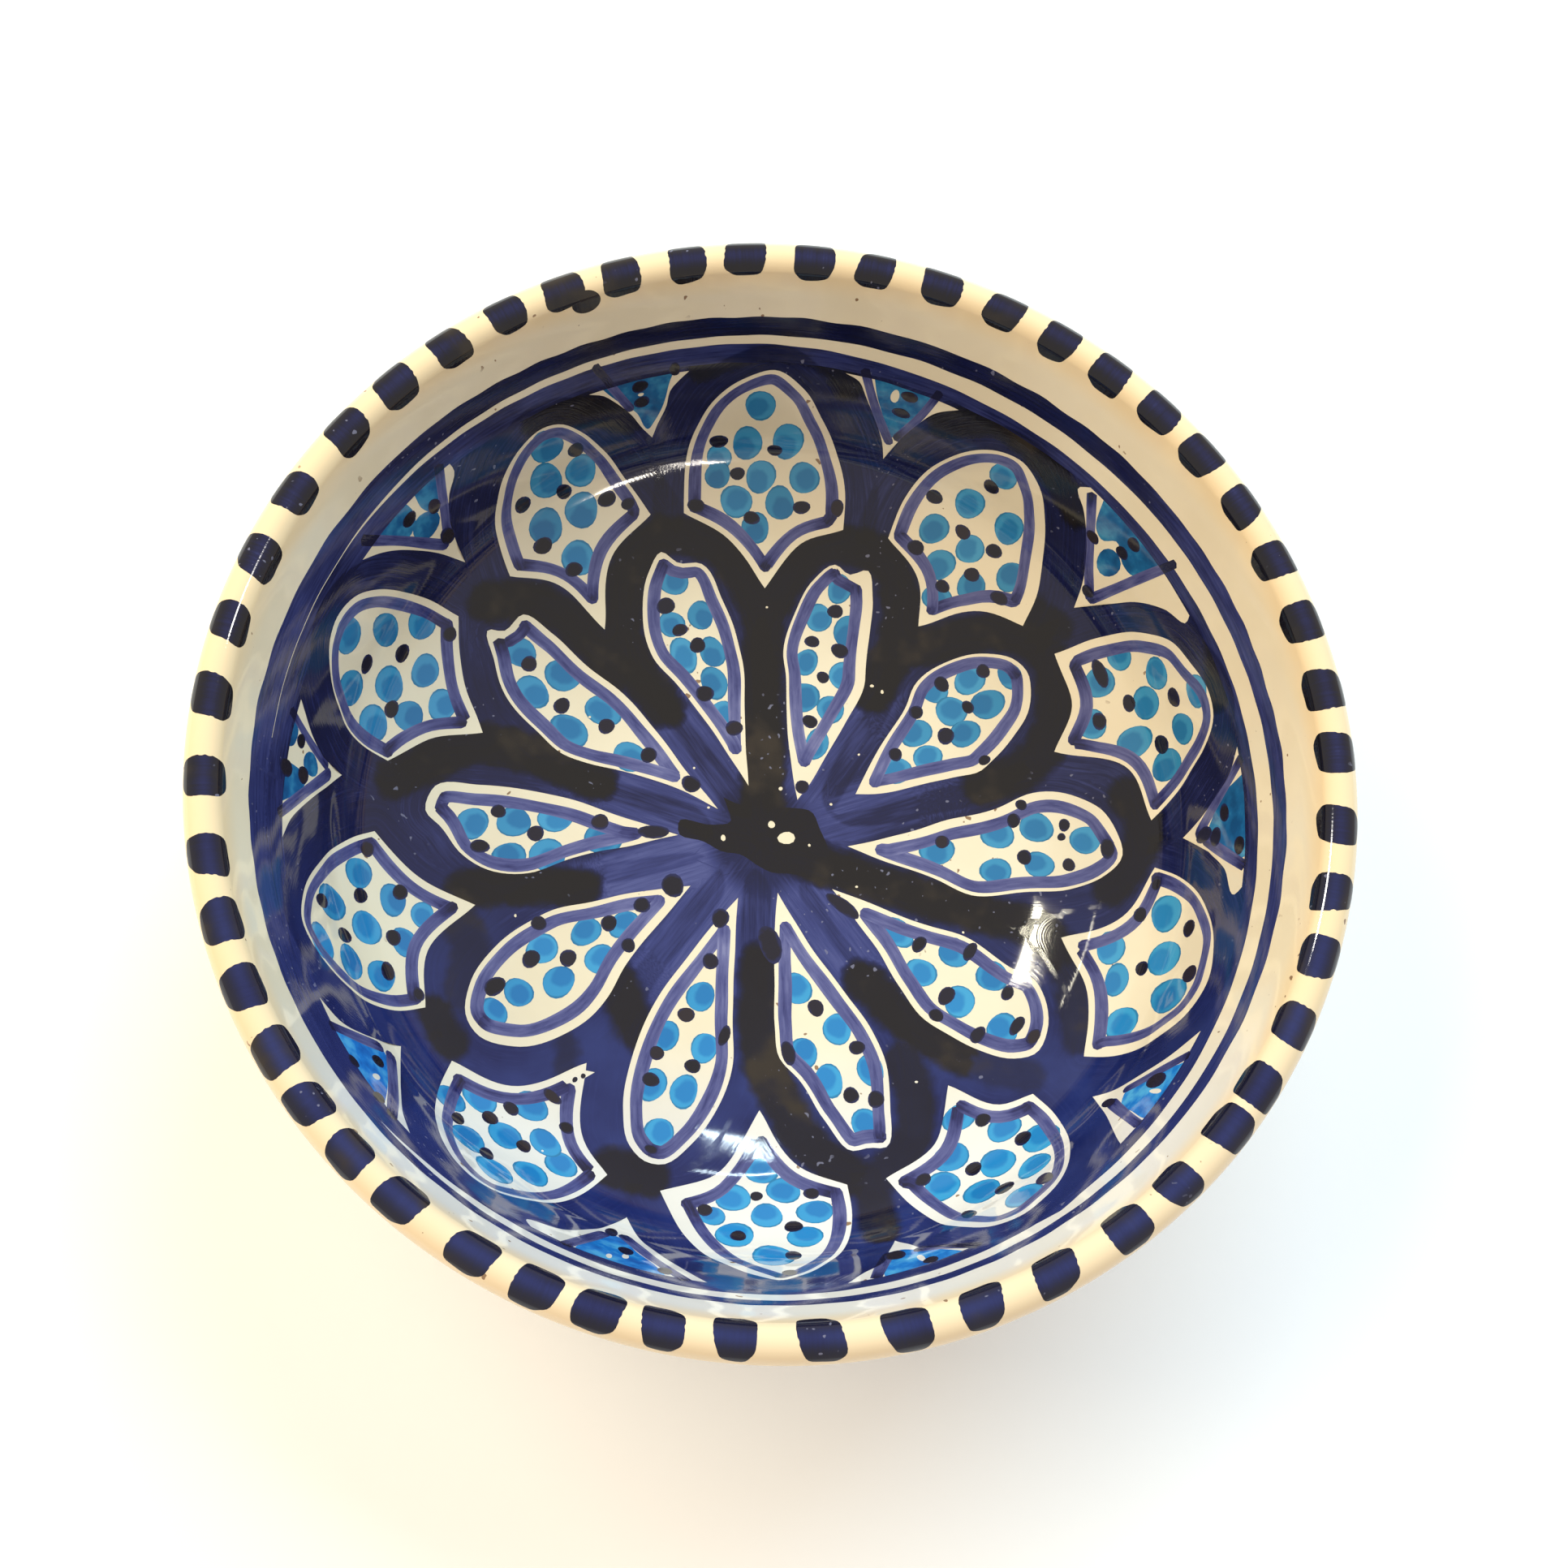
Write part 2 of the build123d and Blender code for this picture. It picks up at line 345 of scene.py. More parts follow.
def brushed_cobalt():
    """Thick cobalt: bristle streaks along the stroke, black where the brush was full or went twice."""
    n = Nodes("brushed_cobalt", 0.06)
    across, along, second = n.attribute("stroke")
    # the tone's violet and black shares also carry the rim dashes' painted highlight
    inside, violet, black = n.attribute("tone")
    where = n.place()
    bristles = n.noise(n.vector(n.times(across, 1.5), n.times(along, 0.07)), 1.0, 3, 0.6)
    blotch = n.noise(where, 60, 3)
    ragged = n.total(inside, n.swing(n.noise(where, 260, 2), 3.0))
    dark = n.times(n.step(ragged, -1.2, 1.8), black)
    pale = n.times(violet, n.total(1.0, n.times(dark, -1.0)))
    overlap = n.step(n.total(second, n.times(blotch, 1.6)), STROKE + 1.2, STROKE + 0.2)
    depth = n.total(0.44, n.times(dark, 0.50), n.times(pale, -0.36), n.times(overlap, 0.14),
                    n.swing(bristles, 0.46), n.swing(blotch, 0.36))
    colour = n.ramp(depth, (0.0, (86, 91, 142)), (0.22, (54, 60, 113)), (0.42, (24, 28, 68)),
                    (0.62, (16, 18, 46)), (0.80, (16, 15, 27)), (1.0, (20, 17, 17)))
    # painted light: on the near side the cobalt turns a purer, brighter blue for the cool light that falls
    # there
    pure_blue_painted_light = n.times(n.near_side_painted_light(where), n.total(0.52, n.times(dark, -0.50), n.times(pale, -0.26)))
    colour = n.mix(pure_blue_painted_light, colour, n.ramp(blotch, (0.38, (16, 32, 96)), (0.64, (48, 64, 134))))
    colour = n.mix(n.times(dark, n.step(blotch, 0.56, 0.72)), colour, linear((50, 42, 33)))
    glints = n.flecks(where, (800, 0, 0.77, 0.81), (45, 1, 0.56, 0.62))
    colour = n.mix(n.times(glints, 0.7), colour, linear((128, 128, 150)))
    return n.finish(colour, bristles, 0.06)


def thin_cobalt():
    """The thin brush: violet where it runs out, darker along one edge and over other paint."""
    n = Nodes("thin_cobalt", 0.06)
    across, along, over = n.attribute("line")
    streaks = n.noise(n.vector(n.times(across, 1.6), n.times(along, 0.12)), 1.0, 3, 0.6)
    edge = n.step(n.maths("ABSOLUTE", across), 0.5, 1.0)
    x, y, _ = n.split(n.place())
    depth = n.total(0.56, n.swing(streaks, 0.8), n.times(edge, -0.12),
                    n.swing(n.noise(n.place(), 90, 2), 0.5), over,
                    n.step(n.length(x, y), 0.022, 0.044, -0.28, 0.0))
    colour = n.ramp(depth, (0.0, (146, 147, 182)), (0.35, (102, 104, 150)), (0.6, (75, 78, 129)),
                    (0.8, (45, 47, 98)), (1.0, (24, 24, 54)))
    return n.finish(colour, streaks, 0.1)


def turquoise_dab():
    """A dab from a full brush: a deeper pool off its middle and a fine dark edge."""
    n = Nodes("turquoise_dab", 0.06)
    u, v, tone = n.attribute("dab")
    where = n.place()
    wobble = n.swing(n.noise(where, 300, 2), 0.45)
    pool_u, pool_v, _ = n.attribute("pool")
    from_pool = n.length(n.maths("SUBTRACT", u, pool_u), n.maths("SUBTRACT", v, pool_v))
    pool = n.step(n.total(from_pool, wobble), 0.80, 0.52)
    edge = n.step(n.total(n.length(u, v), n.times(wobble, 0.15)), 0.88, 0.97)
    # painted light: the second ramp of each pair, purer and brighter, is the near side's, for the cool light
    # that falls there
    near = n.near_side_painted_light(where)
    pale = n.mix(near, n.ramp(tone, (0.0, (52, 134, 176)), (1.0, (72, 156, 198))),
                 n.ramp(tone, (0.0, (46, 142, 194)), (1.0, (64, 162, 210))))
    deep = n.mix(near, n.ramp(tone, (0.0, (32, 104, 154)), (1.0, (42, 124, 176))),
                 n.ramp(tone, (0.0, (24, 110, 174)), (1.0, (36, 130, 194))))
    colour = n.mix(n.times(pool, 0.85), pale, deep)
    colour = n.mix(n.times(edge, 0.6), colour, linear((26, 98, 138)))
    return n.finish(colour, n.noise(where, 200, 2), 0.08)


def turquoise_wash():
    """Turquoise laid on quickly: patches, brush marks and thin places."""
    n = Nodes("turquoise_wash", 0.06)
    where = n.place()
    patches = n.total(n.times(n.noise(where, 150, 3), 0.7), n.times(n.noise(where, 420, 2), 0.3))
    # painted light: the near side's wash is brighter and bluer than the far side's, for the cool light that
    # falls there
    far = n.ramp(patches, (0.36, (18, 76, 124)), (0.5, (26, 98, 150)), (0.64, (56, 138, 178)))
    near = n.ramp(patches, (0.36, (14, 92, 176)), (0.5, (30, 128, 212)), (0.64, (84, 176, 228)))
    colour = n.mix(n.near_side_painted_light(where), far, near)
    return n.finish(colour, patches, 0.1)


def manganese_dot():
    """Near-black dots, blue where the pigment thins at their edge."""
    n = Nodes("manganese_dot", 0.06)
    u, v, tone = n.attribute("dab")
    wobble = n.swing(n.noise(n.place(), 500, 2), 0.7)
    edge = n.step(n.total(n.length(u, v), wobble), 0.70, 1.05)
    body = n.ramp(tone, (0.0, (24, 22, 30)), (0.7, (30, 28, 42)), (1.0, (44, 36, 40)))
    colour = n.mix(edge, body, linear((34, 38, 80)))
    return n.finish(colour, n.noise(n.place(), 260, 2), 0.08)


def fired_clay():
    """Buff earthenware: fine grog and a mottled tone."""
    n = Nodes("fired_clay", 0.86)
    where = n.place()
    grain = n.noise(where, 900, 5, 0.7)
    tone = n.total(n.times(n.noise(where, 70, 3), 0.6), n.times(grain, 0.4))
    colour = n.ramp(tone, (0.32, (168, 112, 78)), (0.5, (198, 146, 108)), (0.68, (220, 176, 138)))
    return n.finish(colour, grain, 0.5, 0.0004)


# ---- the painting, as it lies when the inside is unrolled flat ----
# A place is a point (x, y) whose distance from the middle is measured along the surface.
# A petal's own frame stands on its axis: u across it to the right, v out from the middle.
OUTLINE_STEP = 1.6       # between the points of an outline
PAINT_SPACING = 1.35     # of the loose points between the outlines
DASH_SPACING = 0.75      # of the same on the lip
SHARP_CORNER = 38.0      # degrees: where a thin line stops and starts again
STROKE = 8.2             # width of the thick brush
LINE = 3.0               # width of the thin brush
FOOT_GAP = 1.6           # bare glaze between the two, round an outer petal's foot
BAND_START = 129.0       # the blue band round the petals begins here
DISC_EDGE = {-180: 144.2, -90: 143.5, 0: 143.2, 90: 142.9, 175: 144.5}
GAP_OUTER = {-137: 139.2, -120: 139.8, -90: 139.6, -60: 139.2, -30: 138.8, 0: 138.3, 45: 137.5,
             90: 137.3, 110: 137.5, 135: 137.5, 152: 136.5, 176: 136.3}
GAP_INNER = {-137: 139.0, -130: 136.8, -120: 135.2, -90: 135.0, -60: 134.3, -57: 135.7, -54: 134.2,
             -30: 133.2, 0: 132.5, 30: 132.2, 60: 132.5, 75: 133.2, 90: 134.6, 120: 135.2,
             150: 136.2, 152: 136.2, 176: 136.1}
STAR = [(-9.3, 10.6), (-8.2, 7.6), (-7.5, 4.6), (-12, 3.6), (-20, 4.2), (-20, 1.4), (-14, -0.6),
        (-9.5, -3), (-5, -3.7), (-1, -6.3), (2.5, -8), (6, -8.1), (11, -8.8), (16, -8.5), (16, -2),
        (14, 3), (12, 7.4), (7, 8.3), (0, 8.2), (-4, 8.6), (-7, 9.4)]
PINHOLES = [(5.9, 0.7, 2.1, 1.6), (2.3, 4.0, 0.85, 0.95), (-9.3, 0.4, 0.6, 0.8), (4.5, 13.1, 0.5, 0.5),
            (16.7, 9.4, 0.35, 0.35), (11.4, -1.0, 0.35, 0.35), (-16.5, 17.8, 0.3, 0.3),
            (23.6, 22.2, 0.3, 0.3), (-12.9, 7.9, 0.35, 0.3), (22.7, -11.1, 0.35, 0.3),
            (27, 40, 0.5, 0.4), (29.5, 38.5, 0.4, 0.5), (1, 60, 0.3, 0.3), (-42, 30, 0.35, 0.3),
            (-58, -20, 0.3, 0.4), (48, -22, 0.3, 0.3), (36, -58, 0.4, 0.3), (-50, -76, 0.3, 0.3)]
# A flake off the joint beside an outer petal, in that petal's frame, and two specks left on it.
FLAKE_ANGLE = -126
FLAKE = [(-1.8, 73.6), (1.7, 73.8), (1.2, 71.6), (-0.4, 69.4), (-2.3, 68.5), (-1.3, 70.9)]
FLAKE_SPECKS = [(0.3, 72.6, 0.6, 0.7), (-0.7, 70.8, 0.6, 0.6)]
ROSETTE_RADIUS = 30.0    # the inner petals' strokes all meet within it

OUTER_PETALS = {
    90: dict(
        gaps=(1.2, 1.8),
        side=[(-20, 84), (-20.5, 95), (-19, 107), (-15, 117), (-9.5, 122.5), (1, 126.5), (9, 121),
              (14.5, 111), (18.5, 100), (20.5, 90), (20, 81)],
        foot=[(10, 77.5), (0.5, 65), (-9.5, 78.5)],
        dabs=[(-2.5, 115, 4.3, 4.8), (-5, 103, 4, 4.8), (5.5, 104, 4, 5.5), (-12, 98.5, 3.2, 3.5),
              (-12, 94, 3.3, 3.5), (-1, 94, 3.8, 4.3), (10, 94, 3.8, 4.2), (-7, 87.5, 4.2, 4),
              (4, 87.5, 3.8, 4.2), (-2, 81, 3.6, 4)],
        dots=[(-12.5, 103, 2.6, 1.8), (2.2, 101, 2, 1.5), (-7, 94.5, 2, 1.6), (9.5, 86.5, 2.2, 1.7),
              (-3, 83.5, 2.1, 1.7), (-17, 86, 2.2, 1.8), (18.5, 86.5, 1.7, 2.2)]),
    54: dict(
        gaps=(1, 3.2),
        side=[(-21, 82.5), (-23.5, 92), (-22.5, 104), (-17.5, 114.5), (-9, 121.5), (-2, 122.5),
              (5, 119), (10.5, 111), (14.5, 101), (18, 92), (19.5, 83.5)],
        foot=[(9, 81), (-1.5, 68), (-9, 78.5)],
        dabs=[(-5, 115.5, 4, 4.5), (-9, 102, 3.8, 4.5), (3, 102.5, 3.8, 4.8), (-13, 91, 3.7, 4),
              (-2.5, 92, 3.5, 3.8), (10, 92, 3.6, 4), (-6.5, 84.5, 3.8, 4), (3, 84.5, 3.4, 4),
              (-2, 77, 4, 3.5)],
        dots=[(-6.5, 110, 2.3, 2), (-17.5, 97.8, 2.3, 1.8), (-6.5, 94.5, 2.2, 1.7), (2.8, 95, 2.2, 1.8),
              (1.5, 87, 2, 1.8), (-14, 84.5, 2.3, 1.8), (10.5, 86, 2.5, 1.6), (-2.8, 80.3, 2, 1.6)]),
    18: dict(
        gaps=(2.2, 1),
        side=[(-24, 84), (-23.5, 95), (-19.5, 109), (-12, 118.5), (-4, 121.5), (5, 123.5), (12, 121.5),
              (17, 115), (20, 106), (23, 97), (24.5, 91.5)],
        foot=[(10, 91), (-0.5, 75.5), (-10, 83.5)],
        dabs=[(2.5, 119.5, 4.5, 3.8), (-8, 108.5, 4.2, 4), (8.5, 110, 4.2, 4), (-3, 101.8, 4.1, 4.2),
              (-16.5, 99.5, 3.4, 3.5), (14, 101, 3.8, 5), (4.5, 95, 4, 4.8), (-13, 92, 4, 4),
              (-4, 86.5, 4, 3.6)],
        dots=[(0, 111, 2.8, 2), (-5, 97.2, 2.3, 1.7), (8.5, 101.5, 2.6, 2), (-15, 93, 3.8, 1.8),
              (-4, 88.5, 2.2, 1.8)]),
    -18: dict(
        gaps=(0.8, 2.8),
        side=[(-22.5, 92.5), (-21, 100), (-17, 108), (-9.5, 116), (0, 121), (10, 122), (18, 117.5),
              (23, 108), (26, 97), (27, 88)],
        foot=[(11, 84.5), (0, 75), (-9, 87.5)],
        dabs=[(-11.5, 99, 4.8, 4.5), (0, 102, 4.6, 5), (10.5, 107.5, 5, 6.5), (17.5, 95, 4.6, 4.2),
              (6.5, 90.5, 4.2, 3), (-1, 87, 4.3, 3.4)],
        dots=[(-7.5, 108, 2.3, 2.4), (5.5, 113.5, 2.5, 2.7), (2.8, 96, 2, 1.6), (-10.5, 91.8, 2, 1.6),
              (-18.5, 94, 1.5, 1.3)]),
    -54: dict(
        gaps=(1.5, 2.5),
        side=[(-15, 86.5), (-15.5, 93), (-13.5, 103), (-9, 113), (-2, 120.5), (5, 123.5), (12, 124.5),
              (19, 121), (22.5, 112), (24, 99), (24.5, 82)],
        foot=[(10, 82), (-0.5, 73), (-8, 84)],
        dabs=[(6.5, 115, 5, 6), (-2.5, 104.5, 4.6, 4), (10.5, 100.5, 4.8, 4), (-9, 97.5, 4.8, 4.2),
              (2.5, 95.7, 4.6, 4), (16, 92, 4.6, 4), (-4.5, 89, 4.4, 3.2), (9.5, 87, 4.4, 3.6),
              (2, 80.5, 4.2, 3)],
        dots=[(-0.5, 114, 2.4, 3), (17.8, 106, 1.7, 2.8), (6.5, 104.5, 2.5, 2.2), (-6, 94.2, 2.2, 1.8),
              (7.5, 92.8, 2.1, 1.8), (18, 87.5, 2.1, 1.5), (-2, 84.2, 2, 1.5)]),
    -90: dict(
        gaps=(1.3, 3.2),
        side=[(-19.5, 82), (-20.5, 90), (-18.5, 101), (-13.5, 112), (-7.5, 119.5), (-3, 123), (4, 118.5),
              (10, 111), (15.5, 102), (20, 92), (23, 84)],
        foot=[(10, 79.5), (0.5, 65), (-8, 77.5)],
        dabs=[(-1.8, 105, 4.8, 6), (-9.5, 96.5, 4.2, 3.6), (6.5, 96, 4.6, 4), (-12, 89, 4.2, 3.2),
              (-1, 90, 3.8, 3.2), (11.5, 90.3, 3.2, 2.6), (6.5, 85.5, 4.2, 3.2), (-5, 83.5, 4.1, 3),
              (0, 79, 3.8, 3)],
        dots=[(-6.5, 104, 2, 2.2), (5.7, 96, 1.8, 1.8), (-7, 93, 2.2, 1.6), (13, 88.7, 1.8, 1.6),
              (-11.3, 84.2, 1.8, 1.4), (1.2, 84.9, 1.5, 1.1), (-5, 117, 1.8, 2.5)]),
    -126: dict(
        gaps=(1.2, 2.2),
        side=[(-19, 86), (-18, 94), (-15, 104), (-10.5, 114), (-5, 121.5), (2, 123.5), (7, 122),
              (13, 117), (18, 109), (22, 99), (25, 87)],
        foot=[(10, 82), (0.5, 68), (-9, 82)],
        dabs=[(0, 109, 5, 6.3), (10, 103.8, 4.6, 5), (-6, 99, 4.4, 3.8), (19.5, 96, 4.2, 3.4),
              (4.5, 94, 4.3, 3.5), (-9.5, 91, 4, 3.2), (-3.5, 88.8, 4.2, 3), (14.5, 90, 4.4, 3.5),
              (4.5, 83.7, 4.5, 3.2)],
        dots=[(4.5, 103.5, 1.9, 2.4), (15, 99.7, 1.8, 2), (-0.3, 93, 1.9, 1.6), (9.8, 92.5, 2.1, 1.7),
              (7.6, 87, 2, 1.5), (-5, 82.6, 1.8, 1.3), (2, 78.8, 2.5, 1.2)]),
    -162: dict(
        gaps=(1, 1.2),
        side=[(-17, 87.5), (-17, 95), (-14.5, 106), (-10, 116), (-4, 122.5), (3, 125.5), (11, 121.5),
              (17, 115), (22, 106), (26, 95), (27, 88)],
        foot=[(13, 79.5), (4, 69.5), (-3.5, 83)],
        dabs=[(-1.5, 118, 5, 5.2), (10, 108, 4.6, 6), (-5, 106, 4.8, 4.4), (4, 97, 4.4, 4.2),
              (-8, 96.5, 4, 4), (17.5, 95.3, 4, 3.8), (-0.5, 88, 3.8, 3), (10, 88, 4, 3.3),
              (5, 82, 3.2, 2.8)],
        dots=[(10, 112.5, 2, 2.8), (2, 105.2, 1.9, 2.8), (-7, 94.2, 2.4, 1.8), (12, 96.2, 1.9, 2.1),
              (1, 90.3, 2.1, 1.8), (11.5, 85.7, 2, 1.8), (23, 91.2, 2, 1.8), (-13.5, 88, 1.8, 1.3)]),
    162: dict(
        gaps=(0.6, 1.8),
        side=[(-12.5, 90.5), (-12.5, 98), (-10.5, 108), (-6, 117), (2, 124.5), (9, 126), (16, 123.5),
              (22, 117), (26, 107), (28, 97), (28, 88)],
        foot=[(14, 81), (3, 72), (-2.5, 82.5)],
        dabs=[(7.5, 119, 5.2, 5), (-2.5, 109.5, 4.6, 5), (15.5, 106.5, 4.3, 5), (-6, 98, 4.4, 4.4),
              (4.5, 98, 4.6, 4.2), (22, 96.5, 4.2, 4), (0, 90, 4, 3.6), (12, 90.5, 4.2, 3.6),
              (6, 83.5, 4, 3.5)],
        dots=[(5.3, 107.3, 2.5, 2.2), (13, 98, 2.5, 1.9), (-0.5, 94.7, 2.3, 1.9), (23, 88.3, 2.1, 1.7)]),
    126: dict(
        gaps=(1.8, 1),
        side=[(-12.5, 89.5), (-11.5, 97), (-9, 107), (-4, 115.5), (3, 121), (10, 123), (16, 121),
              (20.5, 115), (23.5, 106), (25, 96), (26, 84)],
        foot=[(12, 80.5), (-0.5, 65.5), (-4, 82.5)],
        dabs=[(10, 117, 4.8, 5.3), (6.5, 107, 4.6, 5.5), (16, 104, 4.2, 5), (1.5, 95.5, 4.6, 4.6),
              (11.5, 94.3, 4.5, 4.5), (4.5, 84.5, 4.2, 4.5)],
        dots=[(17, 110.8, 2.2, 2.4), (-1.5, 104, 2.4, 2.2), (9.7, 101, 2.1, 2.1), (-1.5, 91.7, 2.5, 2.1),
              (18.5, 93.2, 2.4, 2.1), (2, 82.7, 2.3, 1.8), (22.5, 89.3, 1.8, 1.5)]),
}

